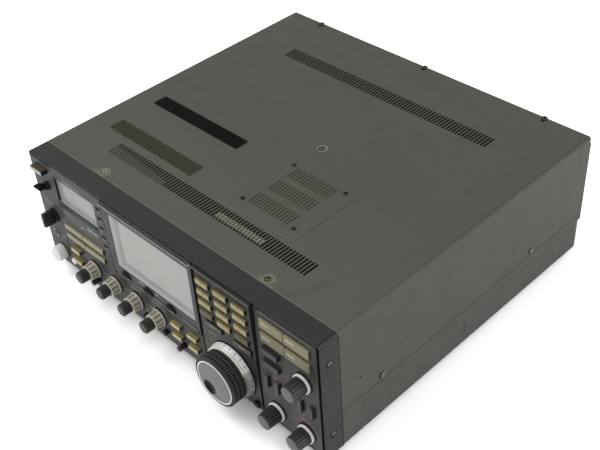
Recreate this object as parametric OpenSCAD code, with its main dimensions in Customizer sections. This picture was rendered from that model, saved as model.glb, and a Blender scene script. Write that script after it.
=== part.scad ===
// Amateur radio transceiver for the desk: cabinet, front panels, dial, knobs, keys and inner units
// Front faces -Y, X runs to the right seen from the front, the feet stand on Z = 0

/* [Cabinet] */
// Width over the top cover and the front frame
body_w = 427.5; // [390:0.5:460]
// Height of the cabinet above the lower edge of the front panels' opening
body_h = 141; // [130:1:155]
// Depth of the cabinet below that edge
drop = 5.5; // [5:0.1:7]
// Depth of the covers
cover_d = 370; // [330:1:410]
// Depth of the front frame ahead of the covers
frame_d = 23; // [21:0.5:27]
// Thickness of the cover sheet
sheet_t = 1.6; // [1:0.1:2.2]
// Outer radius of the folded cover edges
fold_r = 2.8; // [2.6:0.1:4]
// Height of the seam between the two covers
seam_z = 42; // [36:1:44]
// Step by which the bottom cover stands back from the top cover
lower_inset = 0.5; // [0.3:0.1:1.5]
// Thickness of the chassis sheet
chassis_t = 2; // [1.5:0.1:2.5]
// Height of the feet
foot_h = 7; // [6:0.5:12]
// Radius of the feet
foot_r = 14; // [10:0.5:18]

/* [Vents] */
// Slots in each of the two long vent rows
vent_count = 72; // [60:1:72]
// Slots in each of the three speaker rows
grille_count = 14; // [10:1:14]
// Slot to slot distance
vent_pitch = 4.04; // [3.6:0.01:4.2]
// Width of one slot
vent_w = 1.9; // [1.5:0.1:2.4]

/* [Front] */
// Thickness of the front panels
panel_t = 3; // [2.5:0.1:3.5]
// Wall of the frame beside the inner units
side_rim = 3.5; // [3:0.1:4]
// Wall of the frame above the inner units
top_rim = 5.5; // [4.5:0.1:6.5]
// Thin lip of the frame round the panels
lip_w = 1.3; // [1:0.1:1.6]
// Dark groove between the lip and the panels at the sides
side_groove = 2.4; // [1.8:0.1:2.6]
// Dark groove between the lip and the panels at the top
top_groove = 1.4; // [1:0.1:2]
// Slope under the front of the frame
low_bevel = 4; // [2:0.5:4.5]
// Gap around each panel
panel_gap = 0.4; // [0.2:0.1:0.6]
// Dark groove beside the keypad panel
groove_w = 1.8; // [1.2:0.1:2.2]

/* [Dial and knobs] */
// Radius of the tuning dial's grip
dial_r = 27.5; // [24:0.5:29]
// Front of the tuning dial ahead of the panel
dial_p = 25.5; // [24:0.5:32]
// Radius of the dial skirt at the panel
skirt_r = 30.2; // [29:0.1:30.8]
// Front of the dial skirt ahead of the panel
skirt_p = 8.7; // [7:0.1:10]
// Rear radius of the outer concentric knobs
outer_r = 10.3; // [9:0.1:11]
// Front of the outer concentric knobs
outer_p = 12.4; // [11:0.1:14]
// Radius of the inner concentric knobs
inner_r = 6.7; // [5.8:0.1:7.2]
// Front of the inner concentric knobs
inner_p = 22.5; // [19:0.1:23.5]
// Grip radius of the side knobs
side_r = 9; // [8:0.1:9.4]
// Front of the side knobs
side_p = 20; // [17:0.1:23]
// Radius of the shafts
shaft_r = 3; // [2.7:0.1:3.2]
// Radius of the inner concentric shafts
core_r = 1.8; // [1.5:0.1:2]
// Running clearance of shafts in their bores
shaft_fit = 0.05; // [0.02:0.01:0.08]

/* [Keys] */
// Travel of the keys and buttons
key_travel = 1.2; // [0.8:0.1:1.5]
// Clearance of the keys in their openings
key_clear = 0.35; // [0.3:0.05:0.5]
// Retaining lip behind the panel
key_lip = 1.2; // [1:0.1:1.3]
// Radius of the round buttons
button_r = 3.1; // [2.5:0.1:3.2]

/* [Switches] */
// Width of the transmit lever's paddle
paddle_w = 11; // [8:0.5:12]
// Length of the transmit lever from its pivot
paddle_p = 17; // [14:0.5:19]

/* [Rear] */
// Depth of the heat sink behind the rear panel
sink_d = 32; // [28:1:40]
// Number of heat sink fins
fin_count = 22; // [16:1:26]
// Thickness of one fin
fin_t = 2.2; // [1.8:0.1:2.6]
// Side of the square fan frame
fan_w = 80; // [74:1:84]
// Depth of the fan frame
fan_d = 25; // [22:1:27]

/* [Hidden] */
$fn = 48;
sx = body_w / 427.5;
sz = body_h / 141;
half_w = body_w / 2;
cab_x = -1.6 * sx;
face_y = -frame_d;
back_y = face_y + panel_t;
board_y = -9;
board_t = 1.6;
open_x = half_w - side_rim;
open_top = body_h - top_rim;
pan_x = half_w - lip_w - side_groove;
pan_low = panel_gap;
pan_top = body_h - lip_w - top_groove;
ledge_w = 2.2;
ledge_t = 3;
lip_t = 1.2;
inner_x = half_w - lower_inset - sheet_t;
rear_y = cover_d - 2;
rear_t = 2;
chassis_end = rear_y - rear_t;
shelf_z = 70 * sz;
rail_d = 14;
rail_z = body_h - sheet_t - chassis_t;
y_mid = (rear_y + sink_d - frame_d - dial_p) / 2;
slot_x = -3 * sx;
dial_at = [93.5 * sx, 31 * sz];
mid_left = -88.5 * sx;
mid_right = 50.2 * sx;
mid_low = 45.2 * sz;
kp_left = mid_right + groove_w;
kp_right = 130.6 * sx;
right_left = kp_right + groove_w;
selector_at = [-192.5 * sx, 66 * sz];
lever_at = [-192 * sx, 106 * sz];
jack_at = [-199 * sx, 37.5 * sz];
mic_at = [-194 * sx, 14.5 * sz];
needle_at = [-141.5 * sx, 70.5 * sz];
twin_x = [-130.3 * sx, -93.4 * sx, -56.5 * sx, -19.6 * sx];
twin_z = 24.6 * sz;
side_at = [[190.3 * sx, 84 * sz], [152.9 * sx, 17.7 * sz], [190.4 * sx, 17.4 * sz]];
tube_r = shaft_r;
bush_r = shaft_r + 1.4;
boss_p = 1.2;
knob_gap = 0.4;
half_x = [-67.5 * sx, -31 * sx, 5 * sx];
half_z = 49.5 * sz;
half_r = 7.5;
round_at = [[-160, 9.8], [-128.3, 9.8], [-41, 9.8], [-11, 9.8], [17.4, 9.8]];
round_p = [2.8, 9.5, 9.5, 9.5, 9.5];
white_at = [-173 * sx, 11 * sz];
white_r = 3.9;
lamp_z = [122.8, 110.5, 98.1, 85.8, 73.8];
speaker_at = [53.3 * sx, 105.5];
speaker_half = 35.2;
fan_at = [-25 * sx, 70 * sz];
sink_x0 = 25 * sx;
sink_x1 = 198 * sx;
top_screws = [[-121 * sx, 7.3], [121 * sx, 7.3], [19 * sx, cover_d * 0.486],
    [-165 * sx, cover_d - 5.5], [-2.5 * sx, cover_d - 5.5], [158 * sx, cover_d - 5.5]];
side_screws = [[53, seam_z + 6], [cover_d * 0.76, seam_z + 6]];
frame_screws = [[-frame_d / 2, 23.8 * sz], [-frame_d / 2, 114 * sz]];
screw_r = 3.2;
screw_h = 1.7;
shank_r = 1.5;
shank_clear = 0.3;
strip_x0 = -184 * sx;
strip_x1 = -48 * sx;
strip_y0 = 121;
strip_y1 = 138.5;
strip_h = 2.2;
unit_x0 = -95 * sx;
unit_x1 = 200 * sx;
unit_y0 = 55;
unit_y1 = cover_d - 30;
supply_x1 = -110 * sx;
supply_y0 = cover_d - 170;
supply_y1 = cover_d - 20;
supply_h = 55 * sz;
post_x = [-200 * sx, -60 * sx, 75 * sx, 200 * sx];

// Key faces as left, right, bottom, top on a front of 427.5 by 141
mode_boxes = [[-173.5, -140.6, 58.5, 65], [-140, -104, 58.5, 65],
    [-173.5, -140.6, 46, 52.2], [-140, -104.5, 46, 52.2]];
memory_boxes = [[140.2, 169.8, 119, 129.5], [170.4, 200.6, 119, 129.5],
    [140.2, 169.8, 102.6, 113.2], [170.4, 200.6, 102.6, 113.2]];
side_boxes = [[141, 161.5, 89.5, 95.8], [141, 161.5, 73.8, 80]];
narrow_boxes = [for (x = [143.6, 157.2, 186, 199.8]) [x - 2.3, x + 2.3, 45.5, 60]];
small_boxes = [for (x = [[-166.5, -151.5], [4, 18.4], [29.3, 43.7]], z = [32.1, 16.9])
    [x[0], x[1], z, z + 4.8]];
keypad_boxes = [for (i = [0:2], j = [0:3])
    [55.5 + 24.4 * i, 73 + 24.4 * i, 119 - 12.9 * j, 124.8 - 12.9 * j]];
wide_boxes = [[61.7, 84.3, 69.8, 76], [101.3, 124.2, 69.8, 76]];
power_box = [-206, -185.3, 124.6, 129.8];
lock_box = [121.5, 127.6, 2.7, 8.4];
meter_box = [-175, -105, 88, 125];
filter_box = [-79.4, 42.8, 58.9, 124.5];

// Shared helpers

module place() {
    translate([-cab_x, -y_mid, foot_h + drop]) children();
}

// The cabinet's middle, a little left of the datum of the front
module cab() {
    translate([cab_x, 0, 0]) children();
}

// Plate of thickness t whose rear face is at y, drawn in the X and Z plane
module plate(y, t) {
    translate([0, y, 0]) rotate([90, 0, 0]) linear_extrude(t) children();
}

// Cylinder along Y from y0 to y1
module rod(x, z, y0, y1, r) {
    translate([x, y1, z]) rotate([90, 0, 0]) cylinder(h = y1 - y0, r = r);
}

// Cone along Y, radius ra at y0 (front) and rb at y1 (rear)
module taper(x, z, y0, y1, ra, rb) {
    translate([x, y1, z]) rotate([90, 0, 0]) cylinder(h = y1 - y0, r1 = rb, r2 = ra);
}

module block(x0, x1, y0, y1, z0, z1) {
    translate([x0, y0, z0]) cube([x1 - x0, y1 - y0, z1 - z0]);
}

module rect2(x0, x1, z0, z1) {
    translate([x0, z0]) square([x1 - x0, z1 - z0]);
}

// Opening for one key, grown by g
module key2(b, g) {
    rect2(b[0] * sx - g, b[1] * sx + g, b[2] * sz - g, b[3] * sz + g);
}

// One key: front p ahead of the panel, lips above and below behind the panel
module key(b, p, up = 1, down = 1) {
    block(b[0] * sx, b[1] * sx, face_y - p, back_y + lip_t, b[2] * sz, b[3] * sz);
    block(b[0] * sx, b[1] * sx, back_y, back_y + lip_t, b[2] * sz - key_lip * down, b[3] * sz + key_lip * up);
}

// Switch on the control board behind a key
module key_switch(x, z, w, h) {
    front = back_y + lip_t + key_travel + 0.1;
    block(x - w / 2, x + w / 2, front, board_y, z - h / 2, z + h / 2);
}

module box_switch(b) {
    w = min(5, (b[1] - b[0]) * 0.7);
    h = min(4, (b[3] - b[2]) * 0.7);
    key_switch((b[0] + b[1]) / 2 * sx, (b[2] + b[3]) / 2 * sz, w, h);
}

module round_button(x, z, r, p) {
    rod(x, z, face_y - p, back_y + lip_t, r);
    rod(x, z, back_y, back_y + lip_t, r + key_clear + 0.8);
}

module half2(x, g) {
    intersection() {
        translate([x, half_z]) circle(r = half_r + g);
        rect2(x - half_r - 2, x + half_r + 2, half_z - g, half_z + half_r + 2);
    }
}

// Rotary control behind a panel, with its bushing and a bore for a shaft of radius r
module control(x, z, body_r, r) {
    bore = r + shaft_fit;
    difference() {
        union() {
            rod(x, z, back_y, board_y, body_r);
            rod(x, z, face_y - boss_p, back_y + 0.5, bush_r);
        }
        rod(x, z, face_y - boss_p - 1, board_y - 2, bore);
    }
}

// Half of the rounded outline of a folded cover, width w, corners of radius r at the top
module fold2(w, h, r) {
    rect2(-w, w, 0, h - r);
    rect2(-w + r, w - r, 0, h);
    for (s = [-1, 1])
        translate([s * (w - r), h - r]) circle(r = r);
}

// Outline inside both covers, its corners clear of their folds
module inner2() {
    h = body_h + drop - 2 * sheet_t;
    translate([0, sheet_t - drop]) intersection() {
        fold2(inner_x, h, fold_r);
        translate([0, h]) mirror([0, 1]) fold2(inner_x, h, fold_r);
    }
}

// Cabinet

module chassis() color([0.62, 0.63, 0.62]) place() {
    top = body_h - sheet_t;
    difference() {
        cab() intersection() {
            plate(chassis_end, chassis_end + frame_d) inner2();
            chassis_sheets(top);
        }
        for (p = top_screws)
            translate([p[0], p[1], rail_z - 1]) cylinder(h = 6, r = shank_r + shank_clear);
        cab() for (s = [-1, 1], p = side_screws)
            translate([s * inner_x, p[0], p[1]]) rotate([0, 90, 0])
                cylinder(h = 12, r = shank_r + shank_clear, center = true);
        rod(jack_at[0], jack_at[1], -1, chassis_t + 1, 7.2);
    }
}

// Sheets, shelf, rails and posts of the chassis
module chassis_sheets(top) {
    union() {
        for (s = [-1, 1]) {
            x = s * (inner_x - chassis_t / 2);
            block(x - chassis_t / 2, x + chassis_t / 2, 0, chassis_end, sheet_t - drop, top);
        }
        difference() {
            block(-inner_x, inner_x, 0, chassis_t, sheet_t - drop, top);
            block(-inner_x + 22, inner_x - 22, -1, chassis_t + 1, 14 * sz, 127 * sz);
        }
        block(-inner_x, inner_x, chassis_t, chassis_end, shelf_z - chassis_t, shelf_z);
        block(-inner_x, inner_x, 0, rail_d, rail_z, top);
        block(-inner_x, inner_x, cover_d * 0.486 - 7, cover_d * 0.486 + 7, rail_z, top);
        block(-inner_x, inner_x, chassis_end - rail_d, chassis_end, rail_z, top);
        for (x = [-60 * sx, 60 * sx, 180 * sx], y = [70, cover_d - 60])
            translate([x, y, shelf_z - 0.5]) cylinder(h = 6.5, r = 3);
        for (x = post_x, z = [8 * sz, 132 * sz])
            rod(x, z, board_y + board_t, 0.5, 3);
    }
}

module front_frame() color([0.2, 0.2, 0.2]) place() {
    difference() {
        cab() frame_shell();
        difference() {
            cab() block(-open_x + ledge_w, open_x - ledge_w, back_y - 1, 1, ledge_w, open_top - ledge_w);
            block(mid_left - 3.7, mid_left + 3.1, back_y, back_y + ledge_t, mid_low - 3.7, open_top);
            block(mid_left - 3.7, kp_left, back_y, back_y + ledge_t, mid_low - 3.7, mid_low + 2.4);
            block(mid_right - 2.2, kp_left + 2.9, back_y, back_y + ledge_t, 0, open_top);
            block(kp_right - 2.5, right_left + 3.5, back_y, back_y + ledge_t, 0, open_top);
        }
    }
}

// Frame with its thin lip at the front, the inner room, the side screws' recesses and the low slope
module frame_shell() {
    slope = low_bevel * 1.414;
    difference() {
        plate(0, frame_d) translate([0, -drop]) fold2(half_w, body_h + drop, fold_r);
        plate(back_y, panel_t + 1) fold2(half_w - lip_w, body_h - lip_w, fold_r - lip_w);
        block(-open_x, open_x, back_y + ledge_t, 1, 0, open_top);
        translate([0, face_y, -drop]) rotate([45, 0, 0]) cube([body_w + 2, slope, slope], center = true);
        for (s = [-1, 1], p = frame_screws) {
            translate([s * half_w, p[0], p[1]]) rotate([0, 90, 0])
                cylinder(h = 2.4, r = 4, center = true);
            translate([s * half_w, p[0], p[1]]) rotate([0, 90, 0])
                cylinder(h = 20, r = shank_r + shank_clear, center = true);
        }
    }
}

// Panel outlines with their openings

module main_panel() color([0.33, 0.33, 0.33]) place() {
    difference() {
        union() {
            plate(back_y, panel_t) union() {
                rect2(cab_x - pan_x, mid_left - panel_gap, pan_low, pan_top);
                rect2(cab_x - pan_x, mid_right, pan_low, mid_low - panel_gap);
            }
            for (x = twin_x)
                rod(x, twin_z, face_y - boss_p, back_y, outer_r + 0.4);
        }
        plate(back_y + 1, panel_t + 2) union() {
            for (b = mode_boxes)
                key2(b, key_clear);
            for (b = small_boxes)
                key2(b, key_clear);
            key2(power_box, key_clear);
            key2(meter_box, 0);
            for (z = lamp_z)
                rect2(-100.8 * sx, -94.6 * sx, z * sz - 1.1, z * sz + 1.1);
        }
        for (x = twin_x)
            rod(x, twin_z, face_y - 9, back_y + 1, bush_r + 0.3);
        for (p = round_at)
            rod(p[0] * sx, p[1] * sz, face_y - 1, back_y + 1, button_r + key_clear);
        rod(white_at[0], white_at[1], face_y - 1, back_y + 1, white_r + key_clear);
        rod(selector_at[0], selector_at[1], face_y - 1, back_y + 1, bush_r + 0.3);
        rod(lever_at[0], lever_at[1], face_y - 1, back_y + 1, 5.3);
        rod(jack_at[0], jack_at[1], face_y - 1, back_y + 1, 5);
        rod(mic_at[0], mic_at[1], face_y - 1, back_y + 1, 8.3);
    }
}

module display_bezel() color([0.45, 0.45, 0.45]) place() {
    plate(back_y, panel_t) difference() {
        rect2(mid_left, mid_right, mid_low, pan_top);
        key2(filter_box, 0.2);
        for (x = half_x)
            half2(x, key_clear);
    }
}

module keypad_panel() color([0.25, 0.25, 0.25]) place() {
    difference() {
        plate(back_y, panel_t) rect2(kp_left, kp_right, pan_low, pan_top);
        plate(back_y + 1, panel_t + 2) union() {
            for (b = keypad_boxes)
                key2(b, key_clear);
            for (b = wide_boxes)
                key2(b, key_clear);
            key2(lock_box, key_clear);
        }
        rod(dial_at[0], dial_at[1], face_y - 1, back_y + 1, bush_r + 1.3);
    }
}

module right_panel() color([0.3, 0.3, 0.3]) place() {
    difference() {
        union() {
            plate(back_y, panel_t) rect2(right_left, cab_x + pan_x, pan_low, pan_top);
            for (p = side_at)
                rod(p[0], p[1], face_y - boss_p, back_y, side_r + 1.6);
        }
        plate(back_y + 1, panel_t + 2) union() {
            for (b = memory_boxes)
                key2(b, key_clear);
            for (b = side_boxes)
                key2(b, key_clear);
            for (b = narrow_boxes)
                key2(b, key_clear);
        }
        for (p = side_at)
            rod(p[0], p[1], face_y - 9, back_y + 1, bush_r + 0.3);
    }
}

module slot_row(count, x0, y0, y1) {
    for (i = [0:count - 1])
        translate([x0 + (i - (count - 1) / 2) * vent_pitch * sx - vent_w / 2, y0])
            square([vent_w, y1 - y0]);
}

module top_cover() color([0.36, 0.35, 0.31]) place() {
    difference() {
        cab() plate(cover_d, cover_d) difference() {
            translate([0, seam_z]) fold2(half_w, body_h - seam_z, fold_r);
            translate([0, seam_z - 1])
                fold2(half_w - sheet_t, body_h - seam_z + 1 - sheet_t, fold_r - sheet_t);
        }
        translate([0, 0, body_h - sheet_t - 3]) linear_extrude(sheet_t + 6) union() {
            slot_row(vent_count, slot_x, 31, 49.4);
            slot_row(vent_count, slot_x, cover_d - 82.6, cover_d - 63.8);
            for (y = [-26.4, 0, 25.6])
                slot_row(grille_count, speaker_at[0] - 1.3, speaker_at[1] + y - 9, speaker_at[1] + y + 9);
            for (p = top_screws)
                translate(p) circle(r = shank_r + shank_clear);
            for (i = [-1, 1], j = [-1, 1])
                translate([speaker_at[0] + i * speaker_half, speaker_at[1] + j * speaker_half])
                    circle(r = shank_r + shank_clear);
        }
        cab() for (s = [-1, 1], p = side_screws)
            translate([s * half_w, p[0], p[1]]) rotate([0, 90, 0])
                cylinder(h = 8, r = shank_r + shank_clear, center = true);
    }
}

module bottom_cover() color([0.3, 0.3, 0.29]) place() {
    w = half_w - lower_inset;
    h = seam_z - 0.6 + drop;
    cab() plate(cover_d, cover_d) translate([0, -drop]) difference() {
        translate([0, h]) mirror([0, 1]) fold2(w, h, fold_r);
        translate([0, h + 1]) mirror([0, 1]) fold2(w - sheet_t, h + 1 - sheet_t, fold_r - sheet_t);
    }
}

module feet() color([0.1, 0.1, 0.1]) place() {
    cab() for (x = [-165 * sx, 165 * sx], y = [35, cover_d - 40])
        translate([x, y, -drop - foot_h]) cylinder(h = foot_h, r1 = foot_r - 1.5, r2 = foot_r);
}

// One screw along +Z: head above z = 0, shank below
module screw(head_r, head_h, len) {
    difference() {
        cylinder(h = head_h, r = head_r);
        translate([0, 0, head_h]) cube([head_r * 1.2, 0.8, head_h], center = true);
        translate([0, 0, head_h]) cube([0.8, head_r * 1.2, head_h], center = true);
    }
    translate([0, 0, -len]) cylinder(h = len + 0.2, r = shank_r);
}

module case_screws() color([0.5, 0.48, 0.42]) place() {
    for (p = top_screws)
        translate([p[0], p[1], body_h]) screw(screw_r, screw_h, sheet_t + chassis_t);
    for (i = [-1, 1], j = [-1, 1])
        translate([speaker_at[0] + i * speaker_half, speaker_at[1] + j * speaker_half, body_h])
            screw(2.5, 1, sheet_t + 1.6);
    cab() for (s = [-1, 1], p = side_screws)
        translate([s * half_w, p[0], p[1]]) rotate([0, s * 90, 0])
            screw(screw_r, screw_h, sheet_t + lower_inset + chassis_t);
    cab() for (s = [-1, 1], p = frame_screws)
        translate([s * (half_w - 1.2), p[0], p[1]]) rotate([0, s * 90, 0])
            screw(3.6, 1.1, side_rim - 1.2);
}

module hook_strip() color([0.05, 0.05, 0.05]) place() {
    block(strip_x0, strip_x1, strip_y0, strip_y1, body_h, body_h + strip_h);
}

// Rear

module rear_panel() color([0.28, 0.28, 0.28]) place() {
    plate(rear_y, rear_t) difference() {
        translate([cab_x, 0]) inner2();
        translate(fan_at) circle(r = fan_w / 2 - 4);
        rect2(-186 * sx - 14, -186 * sx + 18, 18 * sz, 18 * sz + 24);
    }
}

module heat_sink() color([0.12, 0.12, 0.12]) place() {
    block(sink_x0, sink_x1, rear_y, rear_y + 7, 10 * sz, 112 * sz);
    step = (sink_x1 - sink_x0 - fin_t) / (fin_count - 1);
    for (i = [0:fin_count - 1])
        block(sink_x0 + i * step, sink_x0 + i * step + fin_t, rear_y + 6, rear_y + sink_d, 10 * sz, 112 * sz);
}

module rear_sockets() color([0.6, 0.6, 0.58]) place() {
    for (z = [112 * sz, 78 * sz])
        difference() {
            union() {
                block(-92 * sx - 12, -92 * sx + 12, rear_y, rear_y + 2, z - 12, z + 12);
                rod(-92 * sx, z, rear_y + 1, rear_y + 18, 7.94);
            }
            rod(-92 * sx, z, rear_y + 8, rear_y + 20, 2.2);
        }
    rod(-92 * sx, 38 * sz, rear_y, rear_y + 16, 3);
    rod(-92 * sx, 38 * sz, rear_y, rear_y + 5, 7);
    difference() {
        union() {
            block(-186 * sx - 20, -186 * sx + 24, rear_y, rear_y + 3, 18 * sz - 4, 18 * sz + 28);
            block(-186 * sx - 13.5, -186 * sx + 17.5, rear_y - 22, rear_y + 1, 18 * sz + 0.5, 18 * sz + 23.5);
        }
        block(-186 * sx - 11, -186 * sx + 15, rear_y - 19, rear_y + 9, 18 * sz + 3, 18 * sz + 21);
    }
    for (x = [-190 * sx, -172 * sx, -154 * sx, -136 * sx])
        difference() {
            union() {
                rod(x, 112 * sz, rear_y, rear_y + 1.5, 6.5);
                rod(x, 112 * sz, rear_y + 1, rear_y + 10, 4.2);
            }
            rod(x, 112 * sz, rear_y + 3, rear_y + 12, 1.7);
        }
    for (x = [-186 * sx, -158 * sx, -130 * sx])
        difference() {
            rod(x, 80 * sz, rear_y, rear_y + 4, 10);
            rod(x, 80 * sz, rear_y + 2.5, rear_y + 6, 7.5);
        }
}

module fan_frame() color([0.1, 0.1, 0.1]) place() {
    bore = fan_w / 2 - 3;
    translate([fan_at[0], rear_y, fan_at[1]]) difference() {
        union() {
            difference() {
                block(-fan_w / 2, fan_w / 2, 0, fan_d, -fan_w / 2, fan_w / 2);
                rod(0, 0, -1, fan_d + 1, bore);
            }
            for (a = [0, 90])
                rotate([0, a, 0]) block(-bore - 1, bore + 1, 0, 3, -2.5, 2.5);
            rod(0, 0, 0, 4, 17);
            for (a = [45, 135])
                rotate([0, a, 0]) block(-bore - 1, bore + 1, fan_d - 2, fan_d, -1, 1);
            for (r = [12, 22, 32])
                difference() {
                    rod(0, 0, fan_d - 2, fan_d, r + 1);
                    rod(0, 0, fan_d - 3, fan_d + 1, r - 1);
                }
        }
        rod(0, 0, -1, 5, 2 + shaft_fit);
    }
}

module fan_rotor() color([0.14, 0.14, 0.14]) place() {
    tip = fan_w / 2 - 4.5;
    translate([fan_at[0], rear_y, fan_at[1]]) {
        rod(0, 0, 4.4, fan_d - 3, 16);
        rod(0, 0, 0.4, 5, 2);
        intersection() {
            rod(0, 0, 4.4, fan_d - 3, tip);
            for (i = [0:6])
                rotate([0, i * 360 / 7, 0]) translate([15, fan_d / 2 + 0.7, 0]) rotate([40, 0, 0])
                    block(0, 40, -(fan_d - 9) / 2, (fan_d - 9) / 2, -0.8, 0.8);
        }
    }
}

// Inner units

module speaker() color([0.15, 0.15, 0.15]) place() {
    top = body_h - sheet_t;
    s = speaker_half;
    translate([speaker_at[0], speaker_at[1], top]) difference() {
        union() {
            translate([-s - 3.5, -s - 3.5, -1.6]) cube([2 * s + 7, 2 * s + 7, 1.6]);
            translate([0, 0, -20]) cylinder(h = 19, r1 = 18, r2 = 35);
            translate([0, 0, -32]) cylinder(h = 13, r = 18);
        }
        translate([0, 0, -14]) cylinder(h = 14.1, r1 = 9, r2 = 31);
        for (i = [-1, 1], j = [-1, 1])
            translate([i * s, j * s, -3]) cylinder(h = 4, r = shank_r + shank_clear);
    }
}

module main_board() color([0.1, 0.3, 0.16]) place() {
    z = shelf_z + 6;
    union() {
        block(unit_x0, unit_x1, unit_y0, unit_y1, z, z + board_t);
        block(-60 * sx, 20 * sx, 80, 150, z + 1, z + 16);
        block(60 * sx, 150 * sx, 190, 270, z + 1, z + 20);
        for (i = [0:5])
            translate([(-70 + i * 22) * sx, 300, z + 1]) cylinder(h = 14, r = 6);
    }
}

module power_supply() color([0.55, 0.55, 0.53]) place() {
    block(cab_x - inner_x + chassis_t, supply_x1, supply_y0, supply_y1, shelf_z, shelf_z + supply_h);
}

module control_board() color([0.1, 0.26, 0.15]) place() {
    difference() {
        block(-205 * sx, 205 * sx, board_y, board_y + board_t, 5 * sz, 134.5 * sz);
        rod(jack_at[0], jack_at[1], board_y - 1, board_y + board_t + 1, 7.2);
    }
    for (b = concat(mode_boxes, memory_boxes, side_boxes, narrow_boxes))
        box_switch(b);
    for (b = concat(small_boxes, keypad_boxes, wide_boxes, [power_box, lock_box]))
        box_switch(b);
    for (p = round_at)
        key_switch(p[0] * sx, p[1] * sz, 4, 4);
    key_switch(white_at[0], white_at[1], 4, 4);
    for (x = half_x)
        key_switch(x, half_z + 3, 5, 4);
}

module rotary_controls() color([0.5, 0.5, 0.48]) place() {
    for (x = twin_x)
        control(x, twin_z, 9, tube_r);
    for (p = side_at)
        control(p[0], p[1], 8.5, shaft_r);
    control(selector_at[0], selector_at[1], 9, shaft_r);
    difference() {
        union() {
            rod(dial_at[0], dial_at[1], back_y, board_y, 15);
            rod(dial_at[0], dial_at[1], face_y - boss_p, back_y + 0.5, bush_r + 1);
        }
        rod(dial_at[0], dial_at[1], face_y - boss_p - 1, board_y - 2, shaft_r + shaft_fit);
    }
}

module front_sockets() color([0.4, 0.4, 0.4]) place() {
    difference() {
        union() {
            rod(jack_at[0], jack_at[1], face_y - 1.2, face_y, 5.6);
            rod(jack_at[0], jack_at[1], face_y - 1, back_y + 1, 4.7);
            rod(jack_at[0], jack_at[1], back_y, 8, 6.5);
        }
        rod(jack_at[0], jack_at[1], face_y - 3, 6, 3.2);
    }
    union() {
        rod(mic_at[0], mic_at[1], face_y - 1, face_y, 9.5);
        rod(mic_at[0], mic_at[1], face_y - 6, back_y + 1, 7.8);
        rod(mic_at[0], mic_at[1], back_y, board_y, 8);
    }
    difference() {
        union() {
            rod(lever_at[0], lever_at[1], face_y - 3.4, back_y + 1, 5);
            block(lever_at[0] - 6.5, lever_at[0] + 6.5, back_y, board_y, lever_at[1] - 9, lever_at[1] + 9);
        }
        rod(lever_at[0], lever_at[1], face_y - 5, back_y + 8, 3.9);
        translate([lever_at[0], face_y + 1, lever_at[1]]) rotate([0, 90, 0])
            cylinder(h = 9.4, r = 1 + shaft_fit, center = true);
    }
}

module indicator_lenses() color([0.04, 0.04, 0.04]) place() {
    for (z = lamp_z)
        block(-100.7 * sx, -94.7 * sx, face_y - 0.3, board_y, z * sz - 1, z * sz + 1);
}

// Meter and display

module meter_case() color([0.85, 0.84, 0.78]) place() {
    scale_y = back_y + 5;
    difference() {
        block(-177 * sx, -103 * sx, back_y, board_y, 67 * sz, 127 * sz);
        block(-173.5 * sx, -106.5 * sx, back_y - 1, scale_y, 68.5 * sz, 123.5 * sz);
        rod(needle_at[0], needle_at[1], scale_y - 1, board_y - 2, 1 + shaft_fit);
    }
}

module meter_lens() color([0.85, 0.88, 0.88, 0.4]) place() {
    plate(back_y, panel_t - 1) key2(meter_box, -0.2);
}

module meter_needle() color([0.7, 0.25, 0.2]) place() {
    translate([needle_at[0], back_y, needle_at[1]]) rotate([0, -20.5, 0]) {
        block(-0.35, 0.35, 1.8, 2.4, -1.2, 50);
        rod(0, 0, 1.4, 4.6, 1.6);
        rod(0, 0, 4.5, 8.5, 1);
    }
}

module display_tube() color([0.2, 0.24, 0.24]) place() {
    block(-81 * sx, 44.5 * sx, back_y, board_y, 59.6 * sz, 126 * sz);
}

module display_filter() color([0.7, 0.69, 0.67]) place() {
    plate(back_y, panel_t - 0.6) key2(filter_box, 0);
}

// Front controls that move

module power_button() color([0.7, 0.66, 0.52]) place() {
    key(power_box, 7.5);
}

module transmit_lever() color([0.05, 0.05, 0.05]) place() {
    translate([lever_at[0], face_y + 1, lever_at[1]]) rotate([-15, 0, 0]) {
        rod(0, 0, -6.5, 2.6, 1.5);
        translate([-paddle_w / 2, 0, 0]) rotate([90, 0, 90]) linear_extrude(paddle_w)
            polygon([[-6, -1.4], [-11, -2.6], [-paddle_p, -1.2], [-paddle_p, 1.2], [-11, 2.6], [-6, 1.4]]);
        rotate([0, 90, 0]) cylinder(h = 8.8, r = 1, center = true);
    }
}

module meter_selector() color([0.06, 0.06, 0.06]) place() {
    translate([selector_at[0], face_y, selector_at[1]]) {
        difference() {
            rod(0, 0, -3.2, -0.3, 8.5);
            rod(0, 0, -2, 1, bush_r + 0.4);
        }
        block(-2.6, 2.6, -16, -3, -9, 9);
        rod(0, 0, -3, panel_t + 8, shaft_r);
    }
}

module mic_cap() color([0.75, 0.76, 0.74]) place() {
    difference() {
        rod(mic_at[0], mic_at[1], face_y - 11.5, face_y - 1, 9);
        rod(mic_at[0], mic_at[1], face_y - 6.4, face_y, 7.8 + key_clear);
    }
}

module tuning_dial() color([0.07, 0.07, 0.07]) place() {
    translate([dial_at[0], face_y, dial_at[1]]) {
        difference() {
            union() {
                rod(0, 0, -dial_p + 1.2, -skirt_p, dial_r);
                taper(0, 0, -dial_p, -dial_p + 1.2, dial_r - 1.2, dial_r);
            }
            translate([-8.5, -dial_p - 9, -12.1]) sphere(r = 12.5);
        }
        rod(0, 0, -skirt_p - 0.5, -boss_p - knob_gap, 9);
        rod(0, 0, -skirt_p, panel_t + 8, shaft_r);
    }
}

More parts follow.
